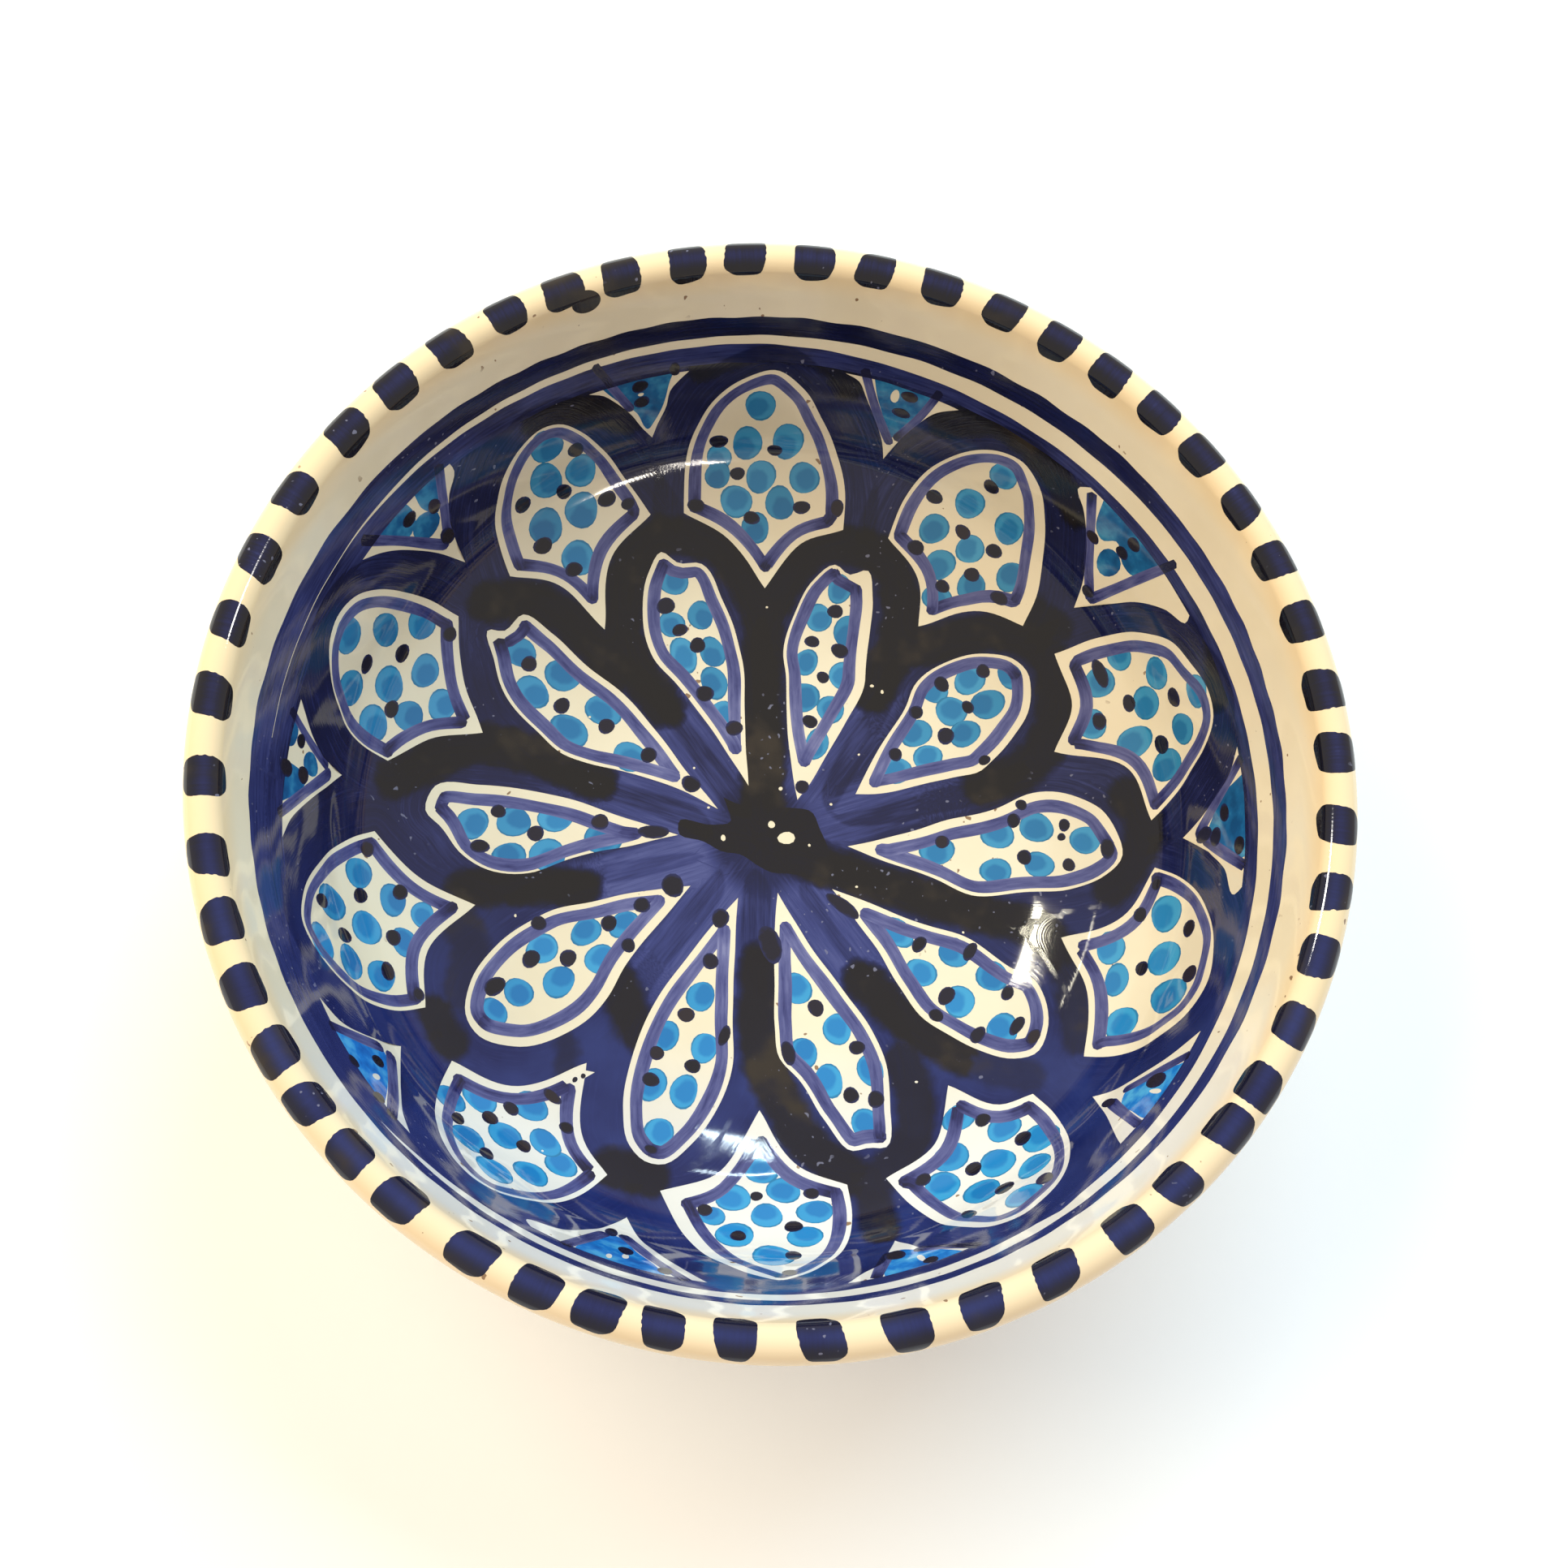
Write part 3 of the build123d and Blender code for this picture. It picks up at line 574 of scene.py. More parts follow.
INNER_PETALS = {
    108: dict(
        gaps=(1.2, 1),
        side=[(1, 14), (-3.5, 31), (-8, 44), (-11.5, 52), (-10.5, 64), (-6, 73.5), (-1.5, 78), (2, 74),
              (7, 72.5), (9.5, 62), (9.5, 46), (5, 29)],
        dabs=[(-0.7, 69.5, 3.6, 3.6), (-4.5, 59, 3.2, 3.5), (3, 59.3, 3.2, 3.8), (-4, 50.5, 3.2, 4.8),
              (3, 49.3, 3.2, 4), (1, 41.5, 3.3, 4.3), (0.8, 33.2, 3, 3.6)],
        dots=[(-4.5, 64, 2.3, 2.2), (-3, 57, 2, 1.6), (0, 52, 2, 2), (-2, 39.5, 2.2, 2.1),
              (2.2, 29, 2.2, 1.9)]),
    72: dict(
        gaps=(0.7, 2.6),
        side=[(5, 12.5), (0, 22), (-4.5, 33), (-7.5, 42), (-10, 47), (-10.5, 58), (-9, 68), (-4.5, 74),
              (-1, 72.5), (3, 75), (6.5, 69), (8.5, 60), (10.5, 50), (11.5, 46), (10, 35), (8, 25),
              (6.5, 17)],
        dabs=[(-2, 68, 3, 4), (-4.5, 59, 3.2, 3.8), (3, 58, 3, 4.5), (-4, 46.8, 3, 3.6),
              (5.5, 46.5, 3.3, 3.6), (-1.5, 38, 3.6, 4), (5.5, 37.2, 3.4, 3.6), (5, 27.5, 3, 4)],
        dots=[(-1.2, 62, 2, 1.8), (-4.2, 52.5, 1.9, 1.5), (3, 52.5, 2.2, 1.9), (1.2, 44.5, 1.6, 1.5),
              (1.7, 32.5, 2, 1.6), (5, 16, 1.6, 1.8)]),
    36: dict(
        gaps=(0.8, 1.8),
        side=[(3.5, 25.5), (-2, 36), (-7.5, 49), (-10.5, 54), (-11, 64), (-7.5, 73), (-2, 78.5), (3, 79),
              (7, 77), (11, 73), (14, 66), (16, 58), (16.5, 54), (14, 48), (10, 38), (6, 29)],
        dabs=[(1, 75, 3.6, 3), (-3.7, 66, 3.6, 4), (3.7, 66, 3.8, 4.4), (-6.8, 57.5, 3.4, 3.6),
              (0, 57.5, 3.8, 4), (6.5, 56.7, 3.4, 4), (-0.3, 47, 3.4, 4), (6.2, 45.5, 3.2, 3.8),
              (4.5, 37.3, 3.3, 3.8)],
        dots=[(-3.8, 70.3, 1.9, 1.7), (1.5, 61.5, 1.7, 1.5), (-7, 59.8, 2.2, 1.7), (4.3, 52.5, 2.1, 2.2),
              (-4.8, 50.2, 1.8, 1.7), (1, 39.5, 1.7, 1.7), (14.7, 56.5, 1.2, 1.6)]),
    0: dict(
        gaps=(2.2, 0.8),
        side=[(1.2, 20.5), (-2, 33), (-6, 45), (-9, 57), (-13, 65.5), (-12.5, 76), (-9, 82.5), (-3, 86),
              (3, 87), (8, 82), (11, 74), (12, 62), (13, 51), (9, 42), (5.5, 32)],
        dabs=[(-1.3, 78.3, 3.6, 3.8), (-4.3, 66.5, 3.7, 4.3), (5, 66.8, 3.2, 3.8), (-2.3, 57, 3.6, 4),
              (6.7, 56.3, 3.3, 3.8), (1.8, 42.2, 3.6, 4.3)],
        dots=[(-5, 73.3, 1.6, 1.4), (-2, 72.5, 1, 1), (5, 74, 1.6, 1.6), (-10, 63, 1.4, 1.4),
              (-6, 61, 1.9, 1.6), (3.2, 63.3, 2, 1.7), (-0.4, 43.5, 1.7, 1.7), (1, 83.5, 2.5, 1.8)]),
    -36: dict(
        gaps=(1.2, 1.5),
        side=[(-0.5, 20.5), (-3.5, 32), (-7, 45), (-10, 53), (-10, 66), (-11, 72), (-9.5, 75), (-3, 81),
              (3, 82), (8, 78), (11, 70), (12, 63), (12.5, 56), (9.5, 47), (5, 37), (2, 28)],
        dabs=[(3.5, 72.5, 4, 3.8), (-5.7, 63.3, 3.8, 3.8), (4, 60.5, 3.8, 3.8), (-5, 52.8, 3.4, 4),
              (3.6, 49.3, 3.3, 3.8), (-1, 39, 3.2, 4.5)],
        dots=[(0.7, 74.7, 2.6, 1.4), (0.5, 79.3, 2, 1.4), (8, 68.5, 2.4, 1.5), (-4.5, 68.5, 2, 1.4),
              (4.7, 57.3, 2.6, 1.7), (-7.5, 55.7, 2.5, 1.4), (-1.7, 45, 2.3, 1.5), (10, 58, 1.5, 1.8),
              (1.5, 25, 1.6, 5)]),
    -72: dict(
        gaps=(1.3, 1),
        side=[(0.3, 13.5), (-3, 28), (-7.5, 42), (-10.5, 52), (-11, 60), (-8.5, 70), (-4.5, 78.5),
              (-1, 77.5), (3, 77), (7, 68), (9.5, 58), (12.5, 50.5), (11, 44), (7.5, 33), (4, 22)],
        dabs=[(-1.8, 72, 3.4, 3.6), (-7, 60.5, 3.2, 3.8), (3, 60, 3.3, 4), (-2.7, 49, 3.4, 3.8),
              (6.5, 52, 3.2, 3.6), (3.3, 37, 3.4, 4)],
        dots=[(-6, 67.3, 2, 2), (-0.8, 64.7, 1.9, 1.9), (-5.7, 54.5, 1.9, 1.7), (0.5, 42.7, 1.8, 2.2),
              (10, 51, 1.6, 3), (6, 25, 2.5, 5)]),
    -108: dict(
        gaps=(1.2, 1.5),
        side=[(1, 15.5), (-2.5, 28), (-6.5, 42), (-10.5, 54), (-10.5, 64), (-7.5, 74), (-2.5, 81),
              (1.5, 81.5), (6, 79), (10, 72), (12, 62), (12, 52), (11, 44), (8, 34), (4.5, 24)],
        dabs=[(0.5, 74.5, 3.4, 3.8), (-1.8, 63.5, 3.3, 4), (5.5, 64.3, 3.2, 4), (-3, 52.3, 3, 3.8),
              (6.5, 52.5, 3.2, 3.8), (1.7, 41, 3.2, 3.8)],
        dots=[(6.3, 63.3, 2, 1.7), (-1.8, 57.2, 2, 1.6), (7, 57, 1.8, 1.6), (3.5, 46.2, 2, 1.8),
              (2.2, 32.2, 2, 1.9), (3.3, 21.5, 2, 2.5), (-6.5, 48, 1.3, 2.5), (1, 78.5, 1.5, 1)]),
    -144: dict(
        gaps=(2.2, 1.2),
        side=[(0.5, 20.5), (-3, 33), (-6.5, 44), (-10.5, 52), (-12, 58), (-11.5, 68), (-8, 76),
              (-1, 81.5), (5, 81), (10.5, 76), (14.5, 66), (15, 57), (14.5, 52), (11, 43), (6, 31)],
        dabs=[(1.5, 75.3, 3.6, 2.6), (2.2, 68.3, 3.7, 3.2), (-1, 59.3, 3.6, 4), (7.7, 58, 3.6, 3.8),
              (-2, 48.3, 3.4, 3.9), (5.3, 47.3, 3.2, 3.8), (1.8, 39, 3, 3.8)],
        dots=[(6.5, 72, 2, 2.8), (7.2, 61.5, 2, 2.3), (2.5, 54.3, 2, 2.1), (13.3, 55.2, 1.8, 1.8),
              (-3, 41, 1.7, 1.7), (4, 41.7, 1.9, 2), (3.2, 32.8, 1.9, 2), (3, 24, 3, 2.6)]),
    180: dict(
        gaps=(0.6, 2.2),
        side=[(1, 20), (-2, 31), (-5.5, 45), (-9.5, 55), (-9, 65), (-5, 71.5), (1.5, 76.5), (5, 80),
              (11, 78.5), (12, 68), (11, 56), (8.5, 44), (4.5, 32)],
        dabs=[(2.3, 69, 4, 3.8), (-5.7, 60, 3.7, 4), (3, 59.3, 3.6, 4.3), (-5, 51, 4, 4.5),
              (4, 49.5, 3.2, 4.3), (-0.5, 38, 4, 4.5)],
        dots=[(-3.3, 67, 1.7, 2.3), (5.5, 63, 1.6, 1.9), (0.3, 54, 1.9, 2.1), (3.6, 38.8, 1.9, 2.2),
              (1.5, 26, 1.6, 4)]),
    144: dict(
        gaps=(0.8, 1.6),
        side=[(0, 13), (-3, 28), (-7, 38), (-10, 45), (-12, 52), (-11, 60), (-9, 70), (-3, 79),
              (2, 84.5), (4, 81.5), (10.5, 80.5), (11, 72), (9.5, 60), (9.5, 50), (7, 38), (3, 25)],
        dabs=[(2.3, 75, 3.8, 4), (-4, 66.5, 3.8, 4.6), (4, 63.3, 4, 4.6), (-6.2, 53.3, 3.8, 5),
              (2.8, 50, 3.6, 4.8), (-2.5, 37.7, 3.6, 4.5)],
        dots=[(1.3, 71.5, 2, 2), (-2.3, 58.7, 2.1, 2), (0.2, 47, 2, 2), (0.6, 34.5, 2, 2),
              (1, 22, 2, 2.5)]),
}

# The small triangles between the outer petals: left runs up from the point, right back down to it.
# bare are drops of glaze that the wash left out.
CORNERS = {
    72: dict(left=[(-2, 104), (-3.5, 109), (-8, 116.5), (-12, 122), (-15, 125.5), (-19.5, 126.7)],
             right=[(14.5, 126.6), (8, 123), (4, 117.5), (1, 112)],
             strokes=[(2.6, [(-14.5, 129.5), (-8.5, 119.5), (-2, 110)]),
                      (2.4, [(8, 130), (4.5, 121), (0, 112)])],
             washes=[[(-12.5, 130), (-6.5, 119), (-1.5, 111.5), (3, 120), (6.3, 130)]],
             dots=[(0, 125.7, 2.7, 1.6), (-1, 120, 2.6, 1.5)], bare=[(-4, 124.5, 1.2, 2.2)]),
    36: dict(left=[(-2.5, 98.5), (-6, 105.5), (-12, 114.5), (-19, 121), (-24.5, 124.5), (-22, 127.5)],
             right=[(24, 126), (24.5, 124), (17, 121), (9, 115), (4, 108)],
             strokes=[(3.0, [(-20.5, 126.5), (-13, 117.5), (-7, 109.5), (-2, 104)]),
                      (2.8, [(11, 133), (6, 122), (2, 112), (-1, 104)])],
             washes=[[(-17.5, 129.5), (-12.5, 120), (-9.5, 119.5), (-6, 122.5), (-1, 119.5), (3, 119.5),
                      (7.5, 129.5)]],
             dabs=[(-4, 116, 3.8, 4.2)],
             dots=[(-2, 126.5, 2.4, 1.8), (-3, 121.7, 2.3, 1.6), (-12, 117.5, 2.2, 1.6),
                   (-3, 104.5, 2, 1.5)]),
    0: dict(left=[(1.5, 103.5), (-2, 111), (-6, 118), (-10, 123), (-16.5, 127)],
            right=[(23, 125.5), (24, 123), (15, 119), (8, 113)],
            strokes=[(3.0, [(-13, 128), (-7.5, 121.5), (-2.5, 115), (1.8, 109.5)]),
                     (3.2, [(17, 126.5), (10, 118.5), (4.5, 112)])],
            washes=[[(-9, 129.5), (-5.5, 120.5), (-1.5, 116), (3, 112.5), (9, 119), (14.5, 126),
                     (14, 129.5)]],
            dots=[(-0.3, 120, 2.5, 1.8), (10.5, 125, 2.7, 2), (5, 116, 2.5, 2.3), (3, 111.5, 2, 3.3)]),
    -36: dict(left=[(7, 101), (3, 108), (-2, 114.5), (-7, 120.5), (-15.5, 127.5)],
              right=[(22, 126.5), (17.5, 119.5), (12.5, 112), (9, 105)],
              strokes=[(2.8, [(-8, 128.5), (-1.5, 119), (3.5, 111.5)]),
                       (3.0, [(15, 127.5), (11.5, 118.5), (8, 109.5)])],
              washes=[[(-6, 129.5), (-0.5, 118.5), (5, 111.5), (8, 113.5), (10.5, 120), (12.5, 129.5)]],
              dots=[(0.5, 121.8, 2.6, 3.6), (8, 108, 1.5, 2.5)], bare=[(3.8, 124.5, 0.8, 2.6)]),
    -72: dict(left=[(2.5, 105.5), (0.5, 111), (-1, 116), (-5, 121), (-10.5, 128.3)],
              right=[(22, 128), (16, 123), (9.5, 119), (6, 112)],
              strokes=[(3.4, [(-13, 129), (-6, 121), (-0.5, 117)]),
                       (3.2, [(14.5, 128.5), (10.5, 121), (6.5, 114)])],
              washes=[[(-9, 129.5), (-4, 121.5), (-0.5, 117.5), (3.5, 113), (7.5, 117.5), (12, 129.5)]],
              dots=[(-0.5, 127, 2, 2.3), (5.5, 116, 2.5, 3.5)], bare=[(1, 123.5, 0.9, 2.6)]),
    -108: dict(left=[(1, 97.5), (-5, 106.5), (-12, 115), (-18, 121), (-24, 126.5)],
               right=[(22, 129), (23.5, 126), (14, 120), (8, 111), (4, 103)],
               strokes=[(3.5, [(-19, 128.5), (-8, 117), (-0.5, 107)]),
                        (3.3, [(12.5, 131), (8.5, 121), (4.5, 110)])],
               washes=[[(-15, 130), (-9, 121.5), (-4, 115.5), (1.5, 108.5), (5.5, 117), (9.5, 130)]],
               dots=[(-13, 125, 2, 2.5), (-2, 118, 2, 3), (3, 107, 1.5, 3)],
               bare=[(-2.5, 122.5, 0.9, 2.0), (1.2, 126.5, 0.8, 1.8)]),
    -144: dict(left=[(5, 101), (0, 106.5), (-6, 114.5), (-13, 122.5), (-21, 128.5)],
               right=[(21.5, 128.3), (14, 124), (10, 116), (7.5, 108)],
               strokes=[(3.6, [(-15.5, 131), (-7.5, 120.5), (3, 108)]),
                        (3.2, [(13.5, 130.5), (9.5, 121), (6, 111)])],
               washes=[[(-11.5, 130), (-5, 120.5), (1, 112), (4.5, 110), (7.5, 119), (11.5, 130)]],
               dots=[(-9, 130, 2, 2.5), (2.5, 130, 2, 2), (2, 117, 2, 2.5)],
               bare=[(-2.5, 123.5, 1.0, 1.8)]),
    180: dict(left=[(9.8, 103), (6, 108), (1, 114.5), (-4, 120.5), (-9, 125), (-15.5, 128.5)],
              right=[(23.5, 125.5), (16, 118.5), (12, 112)],
              strokes=[(3.0, [(-9.5, 130.5), (-1, 121), (8.5, 109)]),
                       (2.6, [(19.5, 129), (14, 119), (10.5, 110.5)])],
              washes=[[(-6.5, 130.5), (-1.5, 123), (4, 118.5), (5, 130.5)],
                      [(9, 130.5), (11.5, 125.5), (15, 124.5), (18, 129.5)]],
              dabs=[(8.5, 117.5, 3.0, 3.6)],
              dots=[(4, 128.5, 2.5, 2.9), (4.7, 120.5, 2.4, 2.4), (13, 123, 2, 1.8)]),
    144: dict(left=[(10, 100.5), (7, 107), (2.5, 114), (-3, 120.5), (-9, 125.5), (-14.5, 128.5)],
              right=[(22.5, 128.3), (22.5, 126), (17, 120.5), (13, 113.5), (11.5, 107)],
              strokes=[(3.0, [(-11.5, 133), (-1, 122), (8.5, 109.5)]),
                       (3.2, [(19.5, 130.5), (15, 121), (11, 111.5)])],
              washes=[[(-8, 130.5), (-3, 125), (1.5, 121.5), (6, 124), (5, 130.5)],
                      [(9, 130.5), (9, 124), (12, 119.5), (15, 122.5), (18, 130.5)]],
              dabs=[(7, 119.3, 4.8, 4)],
              dots=[(4, 125.3, 2.5, 2), (12, 122, 2, 2.3), (10.5, 111, 2.3, 2.7)]),
    108: dict(left=[(3, 108), (1, 111.5), (-2, 117.5), (-6, 122.5), (-9, 125.3), (-13.5, 127)],
              right=[(16, 126.5), (13, 124.5), (10, 122), (8, 117), (5, 112)],
              strokes=[(2.6, [(-11, 135.3), (-6, 126.5), (-2, 119.5)])],
              washes=[[(-9.5, 128), (-5, 122.5), (-0.5, 117.5), (2.5, 111), (4.5, 113.5), (7.5, 118.5),
                       (10, 124), (12.5, 130)]],
              dots=[(1.5, 125.5, 2.5, 1.8), (1.5, 120.5, 2.2, 1.8), (12, 128.3, 1.6, 2.2)],
              bare=[(1.5, 122.9, 0.9, 0.5)]),
}

# Strokes over which the thick paint turned black or nearly so: width, how black, and the path.
DARK_STROKES = [
    (10.5, 1.0, [(0, 8), (0, 30), (0, 66)]),
    (10.5, 1.0, [(-2, 62), (-6, 70), (-12, 76), (-20, 78), (-28, 77), (-33, 70), (-34.5, 60), (-34, 50),
                 (-30, 41), (-24, 33)]),
    (10.5, 1.0, [(3, 62), (8, 71), (14, 76.5), (22, 77), (30, 74), (34, 66), (34.5, 56), (32, 47),
                 (27, 38)]),
    (10.5, 0.95, [(38, 50), (46, 52), (55, 54.5), (64, 54), (71, 48), (73, 38), (71, 28), (64, 19),
                  (54, 15)]),
    (8.0, 0.8, [(68, 60), (74, 55)]),
    (10.5, 1.0, [(4, -2), (20, -7.5), (40, -14), (55, -18), (66, -21), (72, -28)]),
    (10.0, 0.9, [(84, -11), (90, -4), (93, 4), (89, 12)]),
    (10.5, 1.0, [(24, -34), (32, -42), (40, -48), (48, -52)]),
    (9.0, 0.55, [(48, -52), (55, -55), (62, -57)]),
    (9.0, 0.7, [(73, -29), (74, -48)]),
    (10.5, 0.95, [(0, -30), (0, -52), (4, -62), (12, -74), (22, -81)]),
    (10.0, 0.85, [(33, -53), (36, -64), (32, -76), (24, -82)]),
    (9.5, 0.85, [(25, -84), (27, -97)]),
    (10.0, 0.95, [(-34, -35), (-29, -47)]),
    (6.0, 0.6, [(-45, -50), (-45, -57)]),
    (11.0, 0.95, [(-34, -79), (-26, -81)]),
    (10.0, 0.95, [(-76, -44), (-72, -51)]),
    (10.0, 1.0, [(-70, -14), (-55, -12.5), (-43, -13)]),
    (9.5, 0.55, [(-73, -18), (-68, -28), (-70, -39)]),
    (10.5, 0.95, [(-88, 12), (-80, 17), (-70, 22), (-55, 20), (-40, 14)]),
    (10.5, 1.0, [(-68, 58), (-57, 59.5), (-48, 55), (-41, 48), (-36, 42)]),
    (9.0, 0.7, [(-20, 126), (-10, 132), (4, 134), (16, 130), (22, 122)]),
    (10.0, 0.9, [(48, 112), (65, 112), (78, 100), (84, 86)]),
    (10.0, 0.8, [(-66, 108), (-52, 112), (-37, 110)]),
    (10.0, 0.8, [(125, 45), (122, 32)]),
]
# Arms of the star whose paint ran out to violet: angle and how much.
VIOLET_SPOKES = {54: 0.6, 18: 0.55, -54: 0.8, -90: 0.6, -126: 0.85, -162: 0.95, 162: 0.6, 126: 0.6}

DASH_ANGLES = [-176.2, -168.1, -161.2, -154.3, -147.3, -141.3, -135.1, -128.6, -120.2, -113.5, -107.3,
               -101.2, -94.4, -86.4, -78.2, -70.8, -63.1, -54.8, -48.1, -40.5, -35.3, -28.0, -20.4,
               -13.5, -6.2, 1.6, 8.5, 16.3, 23.7, 30.7, 37.8, 44.4, 51.2, 57.9, 64.7, 72.2, 79.6, 86.5,
               94.0, 100.5, 107.9, 114.5, 121.2, 128.4, 135.6, 142.9, 151.7, 159.6, 167.3, 175.3]
DASH_WIDTH = 4.35         # degrees
MM_PER_DEGREE = 2.1       # round the lip
DASH_FROM, DASH_TO = 154.8, 165.6
BLOB_ANGLE, BLOB_DISTANCE = 112.4, 155.2      # a blob beside one dash
BLOB_WIDTH, BLOB_LENGTH = 3.4, 6.0            # degrees, mm


# ---- outlines ----
def smooth(points, step):
    """Points about every step mm along a smooth curve through the given ones."""
    points = np.array(points, float)
    gap = np.linalg.norm(np.diff(points, axis=0), axis=1)
    reach = np.concatenate([[0], np.cumsum(gap)])
    slope = np.gradient(points, reach, axis=0)
    at = np.linspace(0, reach[-1], max(3, round(reach[-1] / step) + 1))
    i = np.clip(np.searchsorted(reach, at, side="right") - 1, 0, len(gap) - 1)
    h = gap[i][:, None]
    x = ((at - reach[i]) / gap[i])[:, None]
    ends = (1 + 2 * x) * (1 - x) ** 2 * points[i] + x * x * (3 - 2 * x) * points[i + 1]
    return ends + x * (1 - x) ** 2 * h * slope[i] + x * x * (x - 1) * h * slope[i + 1]


def turned(points, angle):
    """From a petal's own frame, whose axis points at angle, to the whole painting's."""
    points = np.asarray(points, float)
    t = math.radians(angle)
    u, v = points[:, 0], points[:, 1]
    return np.stack([v * math.cos(t) + u * math.sin(t), v * math.sin(t) - u * math.cos(t)], 1)


def anticlockwise(outline):
    """The triangulation asks for outlines that run this way round."""
    x, y = outline.T
    backwards = np.sum(x * np.roll(y, -1) - y * np.roll(x, -1)) < 0
    return outline[::-1] if backwards else outline


def petal_frame(flat, angle):
    """u and v of places in the frame of a petal or spoke."""
    t = math.radians(angle)
    x, y = flat.T
    return x * math.sin(t) - y * math.cos(t), x * math.cos(t) + y * math.sin(t)


def ease(value, low, high):
    """0 below low, 1 above high, and smooth between."""
    x = np.clip((value - low) / (high - low), 0, 1)
    return x * x * (3 - 2 * x)


def shaky(points, amount):
    """The same outline as an unsteady hand would leave it."""
    x, y = points.T
    dx = np.sin(x / 2.9 + y / 4.3) + np.sin(y / 2.2 - x / 5.1)
    dy = np.sin(y / 2.7 - x / 4.6) + np.sin(x / 2.3 + y / 4.9)
    return points + amount / 2 * np.stack([dx, dy], 1)


def spot(u, v, across, along, count=16):
    """A dab: an ellipse that is never quite even."""
    phase = rng.uniform(0, 2 * math.pi, 3)
    turn = np.linspace(0, 2 * math.pi, count, endpoint=False)
    uneven = 1 + 0.045 * np.sin(2 * turn + phase[0]) + 0.035 * np.sin(3 * turn + phase[1])
    return np.stack([u + across * uneven * np.cos(turn), v + along * uneven * np.sin(turn)], 1)


def leftwards(way):
    """Unit vectors a quarter turn to the left of the given ones."""
    return np.stack([-way[:, 1], way[:, 0]], 1)


def beside(outline, distance):
    """A closed outline drawn again inside an anticlockwise one, distance mm from it at each point."""
    way = unit(np.roll(outline, -1, 0) - np.roll(outline, 1, 0))
    moved = outline + np.reshape(distance, (-1, 1)) * leftwards(way)
    room = np.linalg.norm(moved[:, None] - outline[None], axis=2).min(1)
    return moved[room > 0.9 * abs(np.asarray(distance))]


def split_at_corners(outline):
    """The runs of a closed outline from one sharp corner to the next; two halves if it has none."""
    ahead = np.roll(outline, -1, 0) - outline
    heading = np.degrees(np.arctan2(ahead[:, 1], ahead[:, 0]))
    turn = abs((heading - np.roll(heading, 1) + 180) % 360 - 180)
    corners = np.flatnonzero(turn > SHARP_CORNER)
    if len(corners) < 2:
        first = corners[0] if len(corners) else 0
        corners = np.array([first, first + len(outline) // 2])
    begun = np.roll(outline, -corners[0], axis=0)
    cuts = [*(corners - corners[0]), len(outline)]
    begun = np.concatenate([begun, begun[:1]])
    return [begun[a:b + 1] for a, b in zip(cuts[:-1], cuts[1:]) if b - a > 1]


def ribbon(path, width):
    """The outline of one pull of the brush along a path, with round ends and an uneven width."""
    way = unit(np.gradient(path, axis=0))
    side = leftwards(way)
    place = np.arange(len(path)) * OUTLINE_STEP
    swell = 1 + 0.05 * np.sin(place / 3.6 + rng.uniform(0, 6)) + 0.04 * np.sin(place / 8 + rng.uniform(0, 6))
    half = (width / 2 * swell)[:, None]
    cap = np.linspace(-math.pi / 2, math.pi / 2, 5)[1:-1, None]
    first = path[0] - half[0] * (way[0] * np.cos(cap) + side[0] * np.sin(cap))
    last = path[-1] + half[-1] * (way[-1] * np.cos(cap) + side[-1] * -np.sin(cap))
    edges = []
    for edge in (path + side * half, path - side * half):
        room = np.linalg.norm(edge[:, None] - path[None], axis=2).min(1)
        edges.append(edge[room > 0.93 * half[:, 0]])
    return np.concatenate([edges[0], last, edges[1][::-1], first])


def polar(angles, radii):
    """Places at angles in degrees and distances from the middle."""
    angles = np.radians(angles)
    return np.stack([radii * np.cos(angles), radii * np.sin(angles)], 1)


def distance_and_angle(flat):
    """Distances from the middle and angles, in radians, of places in the painting."""
    return np.hypot(*flat.T), np.arctan2(flat[:, 1], flat[:, 0])


def round_the_dish(table, angles):
    """Distance from the middle at each angle, between the ones given."""
    return np.interp(angles, list(table), list(table.values()), period=360)


# ---- one triangulation of the whole painting ----
ROW_STEP = 0.866         # between the rows of loose points, as a share of their spacing
CLEAR = 0.55             # loose points stay this share of their spacing off the outlines
SUNK = 0.08              # a film's bottom lies this far below the glaze's face, in mm
THIN_EDGE = 0.45         # height of a film's edge, as a share of its middle's


